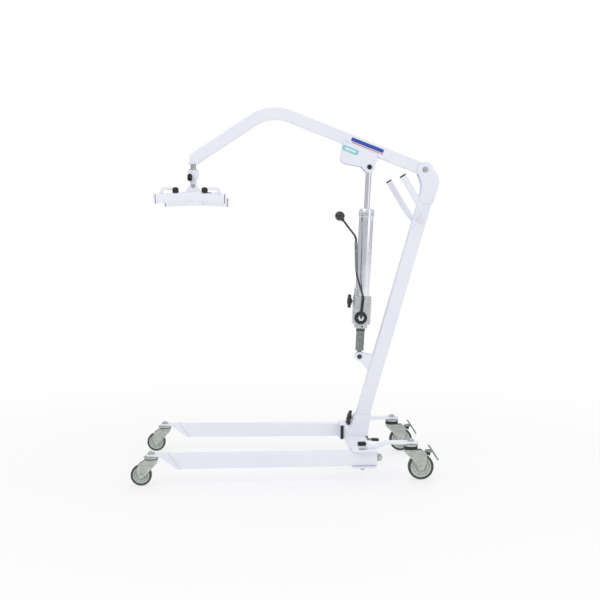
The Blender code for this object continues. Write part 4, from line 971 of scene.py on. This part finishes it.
def mast_head():
    """Two cheeks joined behind the mast, with the boom's pivot bolt through them."""
    inner = MAST_WIDTH / 2 + GAP
    outer = inner + CHEEK
    clear = MAST_DEPTH / 2 / cos(MAST_LEAN)
    web = 5 * MM
    pivot = BOOM_PIVOT

    def front(z):
        """The mast's front face at a height."""
        return mast_x(z) - clear

    def rear(z):
        """The mast's rear face at a height."""
        return mast_x(z) + clear

    def level(drop):
        """The height so many millimetres under the boom's pivot."""
        return pivot.z - drop * MM

    outline = [(front(level(123)) + 14 * MM, level(135)), (rear(level(143)) + web, level(139))]
    outline += [(rear(level(52)) + web, level(52)), (rear(level(52)) - 3 * MM, level(21))]
    outline += circle(32 * MM, 48, (pivot.x, pivot.z), radians(8), radians(196))
    outline += [(front(level(69)) - 4 * MM, level(59)), (front(level(87)) - 1 * MM, level(87))]
    outline += [(front(level(117)), level(117))]
    lap = GAP * 1.1
    back = [(rear(level(133)) + lap, level(133)), (rear(level(133)) + web, level(133))]
    back += [(rear(level(57)) + web, level(57)), (rear(level(57)) + lap, level(57))]
    cheeks = u_bracket(outline, back, inner, outer)
    piece("mast_top_bracket", cheeks, WHITE, "mast", "mast_head", bevel=1.1 * MM, limit=30)
    for name, side in SIDES:
        y = side * (inner + 1 * MM)
        run = [(front(level(110)) + 1 * MM, y, level(117)), (front(level(60)) + 1 * MM, y, level(60))]
        piece(f"bracket_weld_{name}", bead(run, 1.6 * MM), WELD, "mast")
    cross_bolt("boom_pivot_bolt", pivot, outer + GAP, 8 * MM, 19 * MM, "mast", "boom_pin", ZINC)


def cross_bolt(name, centre, half, shank, across, body, node_name, look, thin=False):
    """A bolt along Y with washers, a domed head on the near side and a nut on the far side."""
    height = 2.2 * MM if thin else 3.4 * MM
    seat = 1.2 * MM
    for end, side in SIDES:
        washer = rod(across * 0.62, 0, seat, chamfer=0.3 * MM)
        if side > 0:
            top = hexagon(across, seat, seat + height)
        else:
            dome = [(0, seat), (across * 0.5, seat), (across * 0.46, seat + height * 0.7)]
            dome += [(across * 0.26, seat + height * 1.15), (0, seat + height * 1.2)]
            top = shaped(turned(dome, 0.8 * MM), cut=[hexagon(across * 0.36, 2 * MM, 9 * MM)])
        for part, mesh in (("washer", washer), ("top", top)):
            mesh = along_y(mesh) if side < 0 else moved(mesh, turn=-pi / 2, axis="X")
            mesh = moved(mesh, centre + Vector((0, side * half, 0)))
            stood = (node_name,) if part == "top" and side < 0 else ()
            piece(f"{name}_{part}_{end}", mesh, look, body, *stood)
    bar = along_y(rod(shank - 0.2 * MM, -half - 0.5 * MM, half + 0.5 * MM, 40), centre)
    piece(f"{name}_shank", bar, look, body)


def pump_bracket():
    """A U bracket on the mast's front that holds the ram's lower pin."""
    inner = EYE_HALF + 1.2 * MM
    outer = inner + CHEEK
    clear = MAST_DEPTH / 2 / cos(MAST_LEAN) + GAP * 1.1
    top, low = RAM_LOW.z + 7 * MM, RAM_LOW.z - 60 * MM
    centre = (RAM_LOW.x, RAM_LOW.z)

    def face(z):
        """The mast's front face at a height, less the gap to it."""
        return mast_x(z) - clear

    outline = [(face(top), top), (RAM_LOW.x + 8 * MM, top + 8 * MM)]
    outline += circle(RAM_EYE_R + 1 * MM, 28, centre, radians(70), radians(260))
    outline += [(face(low), low)]
    depth = 5 * MM
    back = [(face(low), low), (face(top), top), (face(top) - depth, top), (face(low) - depth, low)]
    body = u_bracket(outline, back, inner, outer)
    piece("ram_foot_bracket", body, WHITE, "mast", "pump_bracket", bevel=1.0 * MM, limit=30)
    for name, side in SIDES:
        run = [(face(low) - 0.5 * MM, side * outer, low), (face(top) - 0.5 * MM, side * outer, top)]
        piece(f"ram_foot_weld_{name}", bead(run, 1.8 * MM), WELD, "mast")
    cross_bolt("ram_foot_pin", RAM_LOW, outer + GAP, 7 * MM, 16 * MM, "mast", "ram_lower_pin", DARK)


def push_handle():
    """The U of round tube whose cross bar runs through the mast, with its end plugs."""
    low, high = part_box("push_handle")
    z = low.z + HANDLE_R
    centre = Vector((mast_x(z), 0, z))
    lean = Vector((-sin(HANDLE_LEAN), 0, cos(HANDLE_LEAN)))
    near, far = centre + Vector((0, -HANDLE_HALF, 0)), centre + Vector((0, HANDLE_HALF, 0))
    points = [near + lean * HANDLE_ARM, near, far, far + lean * HANDLE_ARM]
    path = rounded_path(points, HANDLE_BEND_R, 24)
    tube = sweep(path, circle(HANDLE_R, 40), lean.cross(Vector((0, 1, 0))))
    piece("handle_tube", tube, WHITE, "mast", "push_handle")
    cap = [(0, -1 * MM), (HANDLE_R + 0.9 * MM, -1 * MM), (HANDLE_R + 1 * MM, 2.5 * MM)]
    cap += [(HANDLE_R - 1 * MM, 4.6 * MM), (0, 5 * MM)]
    for name, side in SIDES:
        end = centre + Vector((0, side * HANDLE_HALF, 0)) + lean * (HANDLE_ARM + GAP)
        plug = moved(turned(cap, 1.6 * MM), end, -HANDLE_LEAN, "Y")
        piece(f"handle_plug_{name}", plug, BLACK, "mast", f"handle_cap_{name}")
        y = side * (MAST_WIDTH / 2 + 0.3 * MM)
        ring = [centre + Vector((x, y, z)) for x, z in circle(HANDLE_R + 0.4 * MM, 40)]
        piece(f"handle_weld_{name}", bead(ring, 1.8 * MM, True), WELD, "mast")


# ---------------------------------------------------------------- boom


def boom_z(x):
    """Height of the boom's rear run above a place."""
    return BOOM_PIVOT.z + (BOOM_PIVOT.x - x) * tan(BOOM_REAR_SLOPE)


def boom():
    """The boom's bent tube with its swivel boss, ram bracket and labels."""
    corner_x = BOOM_PIVOT.x - BOOM_CORNER
    tip_x = BOOM_PIVOT.x - BOOM_REACH
    tail_x = BOOM_PIVOT.x + BOOM_TAIL * cos(BOOM_REAR_SLOPE)
    tip_z = boom_z(corner_x) - (corner_x - tip_x) * tan(BOOM_FRONT_SLOPE)
    points = [(tail_x, 0, boom_z(tail_x)), (corner_x, 0, boom_z(corner_x)), (tip_x, 0, tip_z)]
    profile = rounded(BOOM_WIDTH, BOOM_HEIGHT, 6 * MM, 8)
    tube = sweep(rounded_path(points, BOOM_BEND_R, 28), profile, (0, 1, 0), 1.2 * MM)
    swivel_x = place("cradle_swivel").x
    boss_low = tip_z - 17 * MM
    boss = moved(drum(17 * MM, boss_low, tip_z + 10 * MM, 1.2 * MM), (swivel_x, 0, 0))
    seat = moved(rod(11.3 * MM, boss_low - 20 * MM, tip_z + 6 * MM), (swivel_x, 0, 0))
    piece("boom_arm", shaped(tube, add=[boss], cut=[seat]), WHITE, "boom", "boom_tube")
    collar = []
    for i in range(48):
        a = 2 * pi * i / 48
        x = swivel_x + cos(a) * 17.4 * MM
        surface_z = tip_z + (x - tip_x) * tan(BOOM_FRONT_SLOPE) - BOOM_HEIGHT / 2 / cos(BOOM_FRONT_SLOPE)
        collar.append((x, sin(a) * 17.4 * MM, max(surface_z, boss_low + 3 * MM)))
    piece("boom_boss_weld", bead(collar, 1.7 * MM, True), WELD, "boom")
    boom_bracket()
    boom_labels()


def boom_bracket():
    """The U bracket under the boom, around the ram's upper eye, with the two stub pins."""
    high = RAM_HIGH
    inner = BOOM_WIDTH / 2 + GAP
    outer = inner + 4 * MM
    front, rear = high.x - 110 * MM, high.x + 32 * MM
    rise = 14 * MM
    nose = high.z + 35 * MM
    outline = [(front + 6 * MM, boom_z(front + 6 * MM) - rise), (front - 8 * MM, nose)]
    outline += [(front - 4 * MM, nose - 14 * MM), (front + 14 * MM, nose - 22 * MM)]
    outline.append((high.x - 34 * MM, high.z + 2 * MM))
    outline += circle(23 * MM, 32, (high.x, high.z), radians(205), radians(375))
    outline += [(rear, boom_z(rear) - 38 * MM), (rear, boom_z(rear) - rise)]
    drop = BOOM_HEIGHT / 2 / cos(BOOM_REAR_SLOPE) + GAP * 2
    web = [(front - 7 * MM, nose), (front - 2 * MM, nose - 12 * MM), (front + 2 * MM, nose - 12 * MM)]
    web += [(front + 3 * MM, nose), (front + 14 * MM, boom_z(front + 14 * MM) - drop)]
    web += [(front + 4 * MM, boom_z(front + 4 * MM) - drop)]
    body = u_bracket(outline, web, inner, outer)
    piece("ram_head_bracket", body, WHITE, "boom", "boom_bracket", bevel=0.9 * MM, limit=30)
    for name, side in SIDES:
        y = side * (inner + 1.5 * MM)
        run = [(x, y, boom_z(x) - rise + 0.5 * MM) for x in (front + 8 * MM, rear - 2 * MM)]
        piece(f"ram_head_weld_{name}", bead(run, 2 * MM), WELD, "boom")
        low, top = outer + GAP, outer + GAP + 4 * MM
        stub = [(0, EYE_HALF + 1 * MM), (6.8 * MM, EYE_HALF + 1 * MM), (6.8 * MM, low), (10 * MM, low)]
        stub += [(10 * MM, top - 1.4 * MM), (7 * MM, top), (0, top)]
        stub = shaped(turned(stub, 0.7 * MM), cut=[hexagon(6 * MM, top - 1.6 * MM, top + 4 * MM)])
        stub = moved(stub, high, pi / 2 if side < 0 else -pi / 2, "X")
        piece(f"ram_head_pin_{name}", stub, BLACK, "boom", f"ram_upper_pin_{name}")


def boom_labels():
    """Plain coloured films on the near side: a blue bar over a thin red line, and a pale panel."""
    side = -(BOOM_WIDTH / 2 + 0.25 * MM)
    film = 0.2 * MM

    def strip(name, near_x, far_x, above, height, look, y=side):
        """A thin film with round ends, along the boom's rear run."""
        middle = (near_x + far_x) / 2
        length = (far_x - near_x) / cos(BOOM_REAR_SLOPE)
        sheet = prism(rounded(length, height, height * 0.3, 6), y - film, y, "Y")
        spot = (middle, 0, boom_z(middle) + above)
        piece(name, moved(sheet, spot, BOOM_REAR_SLOPE), look, "boom")

    strip("blue_bar", BOOM_PIVOT.x - 302 * MM, BOOM_PIVOT.x - 171 * MM, 6.5 * MM, 15 * MM, BLUE)
    strip("red_line", BOOM_PIVOT.x - 300 * MM, BOOM_PIVOT.x - 173 * MM, -6 * MM, 2.6 * MM, RED)
    cheek = -(BOOM_WIDTH / 2 + GAP + 4 * MM + 0.25 * MM)
    panel_x = BOOM_PIVOT.x - 305 * MM
    strip("cyan_panel", panel_x - 33 * MM, panel_x + 30 * MM, -41 * MM, 22 * MM, CYAN, cheek)
    strip("pale_panel", panel_x - 24 * MM, panel_x + 21 * MM, -41 * MM, 9 * MM, PALE, cheek - film)


# ---------------------------------------------------------------- ram


def through_y(radius):
    """A long round cutter along Y, for a cross hole."""
    return along_y(rod(radius, -0.1, 0.1))


def ram_eye(radius, hole):
    """A round eye across the ram's axis, with its cross hole."""
    return shaped(along_y(rod(radius, -EYE_HALF, EYE_HALF, 64, 1.2 * MM)), cut=[through_y(hole)])


def ram():
    """The ram: foot, ribbed lower tube, pump body, chromed barrel with its gland, and the rod."""

    def on_axis(name, mesh, look, *stood, bevel=0.0, rides="ram_cylinder"):
        """A piece made about +Z, stood on the ram's axis."""
        piece(name, fitted(mesh, ON_RAM), look, rides, *stood, bevel=bevel, steps=3)

    high = RAM_TUBE_TOP
    start = high - 35 * MM
    barrel = drum(RAM_R, RAM_TUBE_LOW - 12 * MM, start, 0.6 * MM, 96)
    on_axis("ram_tube", barrel, CHROME, "ram_barrel")
    gland = [(ROD_R + GAP, start), (RAM_R + 1.4 * MM, start), (RAM_R + 2 * MM, start + 2 * MM)]
    gland += [(RAM_R + 2 * MM, high - 12 * MM), (RAM_R + 0.4 * MM, high - 10 * MM)]
    gland += [(RAM_R + 0.4 * MM, high - 6 * MM), (RAM_R - 1.5 * MM, high - 1 * MM)]
    gland += [(ROD_R + 7 * MM, high), (ROD_R + 4.5 * MM, high), (ROD_R + GAP, high - 2 * MM)]
    nut = lathe(eased(gland, 0.7 * MM), 96, True)
    slots = []
    for k in range(4):
        slot = block((RAM_R - 1.5 * MM, -3 * MM, start + 7 * MM), (RAM_R + 6 * MM, 3 * MM, start + 17 * MM))
        slots.append(moved(slot, turn=pi / 4 + k * pi / 2, axis="Z"))
    on_axis("ram_gland", shaped(nut, cut=slots), CHROME)
    wiper = [(ROD_R + 0.1 * MM, high - 3 * MM), (ROD_R + 4.2 * MM, high - 3 * MM)]
    wiper += [(ROD_R + 3.8 * MM, high - 0.3 * MM), (ROD_R + 0.4 * MM, high - 0.1 * MM)]
    on_axis("ram_wiper", lathe(wiper, 64, True), RUBBER)

    casting = prism(rounded(BLOCK_DEPTH, BLOCK_WIDTH, 9 * MM, 8), BLOCK_LOW + 3 * MM, RAM_TUBE_LOW)
    on_axis("pump_body", casting, CAST, bevel=3.5 * MM)
    foot, shoulder, tip = BLOCK_LOW + 60 * MM, RAM_TUBE_LOW + 29 * MM, RAM_TUBE_LOW + 34 * MM
    piston = turned([(0, foot), (12 * MM, foot), (12 * MM, shoulder), (8 * MM, tip), (0, tip)], 1.5 * MM)
    on_axis("pump_piston_housing", moved(piston, (-23 * MM, -12 * MM, 0)), CAST)
    collar = mm((0, 117), (25, 117), (27, 119)) + [(27 * MM, BLOCK_LOW + 6 * MM), (0, BLOCK_LOW + 6 * MM)]
    on_axis("pump_collar", turned(collar, 1.2 * MM), CAST)
    screw = shaped(rod(3.4 * MM, 0, 1.6 * MM, chamfer=0.4 * MM), cut=[hexagon(3 * MM, 0.8 * MM, 4 * MM)])
    on_axis("collar_screw", along_y(screw, (3 * MM, -26.8 * MM, 125 * MM)), BLACK)

    neck = mm((0, 18), (9, 18), (10, 23), (17.5, 25))
    for k in range(3):
        z = 40 + 24 * k
        neck += mm((17.5, z), (16.3, z + 0.8), (16.3, z + 3.2), (17.5, z + 4))
    neck += mm((17.5, 116.7), (0, 116.7))
    on_axis("ram_lower_barrel", turned(neck, 0.5 * MM), STEEL, "ram_lower_tube")
    on_axis("ram_lower_band", drum(18.2 * MM, 105 * MM, 113 * MM), DARK)
    on_axis("ram_foot_eye", ram_eye(RAM_EYE_R, 7.3 * MM), WHITE)

    slide = Vector(JOINTS["ram_stroke"]["axis"])
    length = (RAM_HIGH - RAM_LOW).dot(slide)
    shaft = drum(ROD_R - 0.2 * MM, high - 218 * MM, length - 14 * MM, 1.0 * MM)
    on_axis("ram_rod_shaft", shaft, CHROME, "ram_rod", rides="ram_piston")
    head = ram_eye(RAM_EYE_R + 1 * MM, 7 * MM)
    on_axis("ram_rod_eye", moved(head, (0, 0, length)), CHROME, rides="ram_piston")
    ferrule = drum(14 * MM, length - 24 * MM, length - 15 * MM, 1.2 * MM)
    on_axis("ram_rod_ferrule", ferrule, CHROME, rides="ram_piston")

    on_knob = frame_at(place("release_knob_turn"), RAM_LEAN - pi / 2)
    star_knob("release_knob", on_knob, "release_valve", "release_knob", 28 * MM, -8 * MM)


def pump_lever():
    """The pump's black disc with its bright nut, the cranked lever in its sleeve, and the ball."""
    pivot = place("pump_lever_stroke")
    body = "lever"
    face = BLOCK_WIDTH / 2 + GAP
    disc = [(0, face), (26.5 * MM, face), (27 * MM, face + 2 * MM), (25.5 * MM, face + 8 * MM)]
    disc += [(20 * MM, face + 9 * MM), (0, face + 8.6 * MM)]
    piece("pump_disc", along_y(turned(disc, 1.2 * MM), pivot), BLACK, body, "pump_lever")
    hub = hexagon(21 * MM, face + 8.4 * MM, face + 12 * MM)
    piece("pump_hub", along_y(hub, pivot), CHROME, body)
    nut = hexagon(12 * MM, face + 12 * MM, face + 15 * MM)
    piece("pump_hub_nut", along_y(nut, pivot), ZINC, body)
    plane = -(face + 12.5 * MM)
    points = [(0, plane, 0), (9 * MM, plane, 84 * MM), (-18 * MM, plane, 175 * MM)]
    points += [(-22 * MM, plane, 330 * MM), (-76 * MM, plane, 400 * MM)]
    whole = [pivot + p for p in rounded_path(points, 40 * MM, 12)]
    piece("lever_bar", sweep(whole, circle(4.1 * MM, 24), (0, 1, 0)), DARK, body)
    lower = [p for p in whole if p.z < pivot.z + 150 * MM]
    piece("lever_crank", sweep(lower, circle(5.4 * MM, 24), (0, 1, 0), 0.8 * MM), DARK, body)
    a, b = pivot + Vector(points[2]), pivot + Vector(points[3])
    sleeve = [a.lerp(b, 0.10), a.lerp(b, 0.88)]
    piece("lever_sleeve", sweep(sleeve, circle(6.4 * MM, 32), (0, 1, 0), 1.0 * MM), STEEL, body)
    end, before = pivot + Vector(points[-1]), pivot + Vector(points[-2])
    way = (end - before).normalized()
    lean = atan2(way.x, way.z)
    radius = 20 * MM
    angles = [-pi / 2 + 0.35 + (pi - 0.35) * i / 40 for i in range(40)]
    ball = [(radius * cos(a), radius * sin(a)) for a in angles]
    ball = [(0, ball[0][1])] + ball + [(0, radius)]
    spot = end + way * (-ball[1][1] + GAP)
    piece("lever_knob", moved(lathe(ball, 64), spot, lean, "Y"), BALL, body, "lever_ball")
    ferrule = turned([(0, 0), (6.4 * MM, 0), (7.4 * MM, 6 * MM), (0, 6 * MM)], 0.8 * MM)
    piece("lever_ferrule", moved(ferrule, end - way * 5 * MM, lean, "Y"), BLACK, body)


# ---------------------------------------------------------------- cradle


def cradle():
    """The sling cradle: swivel post, yoke with its lock, cross beam, arched side bars and hooks."""
    yoke_top, yoke_low = 63 * MM, 28 * MM
    post_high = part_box("cradle_post")[1].z - TILT.z
    flange = yoke_top + GAP
    post = [(0, flange), (16 * MM, flange), (16 * MM, flange + 4 * MM), (11 * MM, flange + 5 * MM)]
    post += [(10.8 * MM, post_high - 1 * MM), (0, post_high - 1 * MM)]
    piece("swivel_spindle", moved(turned(post, 0.6 * MM), TILT), ZINC, "swivel", "cradle_post")
    body = prism(rounded(44 * MM, 32 * MM, 5 * MM), yoke_low, yoke_top)
    outline = circle(13 * MM, 28, (0, 0), -pi, 0)
    outline += [(13 * MM, yoke_low + 4 * MM), (-13 * MM, yoke_low + 4 * MM)]
    tongue = prism(outline, -12 * MM, 12 * MM, "Y")
    slot = moved(along_y(rod(4.3 * MM, 8 * MM, 30 * MM)), (-13 * MM, 0, 33 * MM))
    yoke = shaped(body, add=[tongue], cut=[slot, through_y(TILT_HOLE)])
    piece("swivel_yoke", moved(yoke, TILT), WHITE, "swivel", "cradle_yoke", bevel=1.6 * MM, limit=35)

    low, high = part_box("yoke_lock_knob")
    middle = (low + high) / 2
    arch = rounded(19 * MM, 29 * MM, 8.5 * MM)
    notch = block((-2.6 * MM, -30 * MM, -20 * MM), (2.6 * MM, 30 * MM, -3 * MM))
    grip = shaped(prism(arch, 0, 13 * MM, "Y"), cut=[notch])
    grip = moved(grip, (middle.x, low.y, middle.z))
    piece("lock_grip", grip, BLACK, "swivel_lock", "yoke_lock_knob", bevel=2.0 * MM, steps=3)
    stem = along_y(rod(3.9 * MM, 10 * MM, 20 * MM), (middle.x, 0, middle.z))
    piece("lock_stem", stem, ZINC, "swivel_lock")

    reach = BAR_Y - BAR_WIDTH / 2 - GAP
    shape = [(b, a - BAR_BELOW) for a, b in rounded(BAR_HEIGHT, 54 * MM, 9 * MM)]
    beam = prism(shape, -reach, reach, "Y")
    inner = 12.6 * MM
    outer = inner + 5 * MM
    top = BAR_HEIGHT / 2 - BAR_BELOW
    outline = [(-31 * MM, top - 6 * MM), (31 * MM, top - 6 * MM), (26 * MM, -10 * MM)]
    outline += circle(16 * MM, 28, (0, 0), radians(-5), radians(185)) + [(-26 * MM, -10 * MM)]
    piece("cradle_cross_tube", moved(beam, TILT), WHITE, "cradle", "cradle_beam", bevel=0.8 * MM, limit=40)
    for name, side in SIDES:
        low_y, high_y = sorted((side * inner, side * outer))
        cheek = shaped(prism(outline, low_y, high_y, "Y"), cut=[through_y(TILT_HOLE)])
        piece(f"tilt_cheek_{name}", moved(cheek, TILT), WHITE, "cradle", bevel=1.0 * MM, limit=30)
        run = [(x, side * (outer + 0.2 * MM), top + 0.3 * MM) for x in (-24 * MM, 24 * MM)]
        run = [TILT + Vector(p) for p in run]
        piece(f"tilt_cheek_weld_{name}", bead(run, 1.6 * MM), WELD, "cradle")
    cross_bolt("tilt_bolt", TILT, outer + GAP, 6 * MM, 14 * MM, "cradle", "cradle_tilt_pin", ZINC, thin=True)
    for name, side in SIDES:
        side_bar(name, side)


def side_bar(name, side):
    """An arched side bar with end caps, hook rods, rubber stops and its weld to the cross tube."""
    centre = TILT + Vector((0, side * BAR_Y, -BAR_BELOW))
    points = [(-BAR_HALF, 0, -BAR_DROP), (0, 0, 0), (BAR_HALF, 0, -BAR_DROP)]
    path = [centre + p for p in rounded_path(points, 150 * MM, 12)]
    bar = sweep(path, rounded(BAR_WIDTH, BAR_HEIGHT, 9 * MM, 10), (0, 1, 0), 1.0 * MM)
    piece(f"side_bar_{name}", bar, WHITE, "cradle", f"cradle_bar_{name}")
    slope = atan2(BAR_DROP, BAR_HALF)
    for place_name, end in (("front", -1), ("rear", 1)):
        seam = centre + Vector((end * (BAR_HALF - 7 * MM), 0, -BAR_DROP * 0.95))
        run = [(0, y, z) for y, z in rounded(BAR_WIDTH + 0.5 * MM, BAR_HEIGHT + 0.5 * MM, 9 * MM, 10)]
        collar = skin([[Vector(p) + Vector((x, 0, 0)) for p in run] for x in (-1.1 * MM, 1.1 * MM)])
        piece(f"bar_seam_{place_name}_{name}", moved(collar, seam, end * slope, "Y"), BLACK, "cradle")
        hook = [(end * HOOK_OUT, 0, -BAR_DROP), (end * HOOK_OUT, 0, HOOK_RISE), (end * HOOK_IN, 0, HOOK_RISE)]
        hook = [centre + p for p in rounded_path(hook, 12 * MM, 14)]
        rod_mesh = sweep(hook, circle(HOOK_R, 32), (0, 1, 0), 1.6 * MM)
        piece(f"hook_{place_name}_{name}", rod_mesh, WHITE, "cradle")
        top = BAR_HEIGHT / 2 - BAR_DROP * HOOK_OUT / BAR_HALF + 0.4 * MM
        around = circle(HOOK_R + 0.8 * MM, 24)
        ring = [centre + Vector((end * HOOK_OUT + x, y, top)) for x, y in around]
        piece(f"hook_weld_{place_name}_{name}", bead(ring, 1.4 * MM, True), WELD, "cradle")
        stop_top = BAR_HEIGHT / 2 / cos(slope) - BAR_DROP * STOP_X / BAR_HALF
        profile = mm((0, 0), (10.4, 0), (12.5, 2.4), (12.5, 5), (11.4, 6), (11.4, 7.2))
        profile += mm((12.5, 8.4), (12.3, 14), (10, 19), (6, 21), (0, 21.5))
        spot = centre + Vector((end * STOP_X, 0, stop_top + 0.5 * MM))
        stop = moved(turned(profile, 1.2 * MM), spot, end * slope, "Y")
        piece(f"hook_stop_{place_name}_{name}", stop, RUBBER, "cradle", f"sling_stop_{place_name}_{name}")
    y = centre.y - side * (BAR_WIDTH / 2 + 0.2 * MM)
    run = [(centre.x + a, y, centre.z + b) for a, b in rounded(54 * MM, BAR_HEIGHT, 9 * MM, 8)]
    piece(f"side_bar_weld_{name}", bead(run, 1.7 * MM, True), WELD, "cradle")


# ---------------------------------------------------------------- leg pedal


def spreader_pedal():
    """The foot pedal that spreads the legs: a hooked lever with a ribbed rubber pad."""
    pivot = place("spreader_pedal_press")
    outline = mm((0, 16), (5, 16), (8, 4), (11, 0), (52, -2), (52, -8), (8, -8), (-4, -7), (-6, 4))
    arm = prism(outline, -5 * MM, 5 * MM, "Y")
    bush = along_y(rod(9 * MM, -12 * MM, 12 * MM, 48, 1.2 * MM))
    lever = moved(shaped(arm, add=[bush]), pivot)
    piece("pedal_lever", lever, STEEL, "pedal", "spreader_pedal", bevel=0.8 * MM)
    pad = prism(rounded(30 * MM, 24 * MM, 4 * MM), -5.2 * MM, 4.2 * MM)
    pad = moved(pad, pivot + Vector((36.5 * MM, 0, -4.6 * MM)), radians(2.8), "Y")
    piece("pedal_pad", pad, RUBBER, "pedal", bevel=0.8 * MM)


# ---------------------------------------------------------------- studio


def floor():
    """A pale floor that glows more and more towards its far edge."""
    mesh = prism(circle(FLOOR_R, 96), -0.02, -0.0005)
    made = linked("studio_floor", mesh)
    material, tree, shader = surface("pale_floor", 0.55)
    shader.inputs["Base Color"].default_value = (0.86, 0.87, 0.89, 1)
    glow = node(tree, "Emission", strength=1.0, color=(1, 1, 1, 1))
    away = node(tree, "VectorMath", operation="LENGTH")
    tree.links.new(node(tree, "TexCoord").outputs["Object"], away.inputs[0])
    mix = node(tree, "MixShader")
    tree.links.new(ramp(tree, away.outputs["Value"], 0.2, 2.6, 0.6, 1.0), mix.inputs[0])
    tree.links.new(shader.outputs["BSDF"], mix.inputs[1])
    tree.links.new(glow.outputs["Emission"], mix.inputs[2])
    tree.links.new(mix.outputs["Shader"], tree.nodes["Material Output"].inputs["Surface"])
    mesh.materials.append(material)


def surround():
    """A white backdrop to the camera, and a sky that is greyer below to everything else."""
    world = bpy.data.worlds.new("studio")
    bpy.context.scene.world = world
    world.use_nodes = True
    tree = world.node_tree
    tree.nodes.clear()
    split = node(tree, "SeparateXYZ")
    tree.links.new(node(tree, "TexCoord").outputs["Generated"], split.inputs[0])
    sky = blend(tree, ramp(tree, split.outputs["Z"], -0.15, 0.75), (0.42, 0.42, 0.46), (0.90, 0.90, 0.90))
    seen = blend(tree, node(tree, "LightPath").outputs["Is Camera Ray"], sky, (1.0, 1.0, 1.0))
    back = node(tree, "Background", color=seen, strength=1.0)
    tree.links.new(back.outputs["Background"], node(tree, "OutputWorld").inputs["Surface"])


def lights():
    """Three soft lights of a given size and power, aimed at the middle of the hoist."""
    lamps = (
        ("key", (-2.6, -3.2, 3.6), 2.4, 42),
        ("fill", (3.2, -2.6, 2.0), 2.6, 16),
        ("rim", (1.5, 3.2, 3.0), 2.2, 20),
    )
    for name, spot, size, watts in lamps:
        data = bpy.data.lights.new(name, "AREA")
        data.size = size
        data.energy = watts
        light = linked(name, data)
        light.location = spot
        light.rotation_euler = (LIGHT_AIM - Vector(spot)).to_track_quat("-Z", "Y").to_euler()


def camera():
    """The camera that sees the hoist as the photograph does."""
    data = bpy.data.cameras.new("camera")
    data.lens = LENS
    data.sensor_width = 36
    data.clip_end = 60
    made = linked("camera", data)
    made.location = CAMERA_SPOT
    made.rotation_euler = (pi / 2 - CAMERA_PITCH, 0, -CAMERA_YAW)
    bpy.context.scene.camera = made
    bpy.context.scene.view_settings.view_transform = "Standard"


def build():
    """Every piece of the hoist, and the studio around it."""
    cross_beam()
    bolts()
    rear_arms()
    legs()
    casters()
    mast()
    mast_head()
    pump_bracket()
    push_handle()
    boom()
    ram()
    pump_lever()
    cradle()
    spreader_pedal()
    floor()
    surround()
    lights()
    camera()


build()
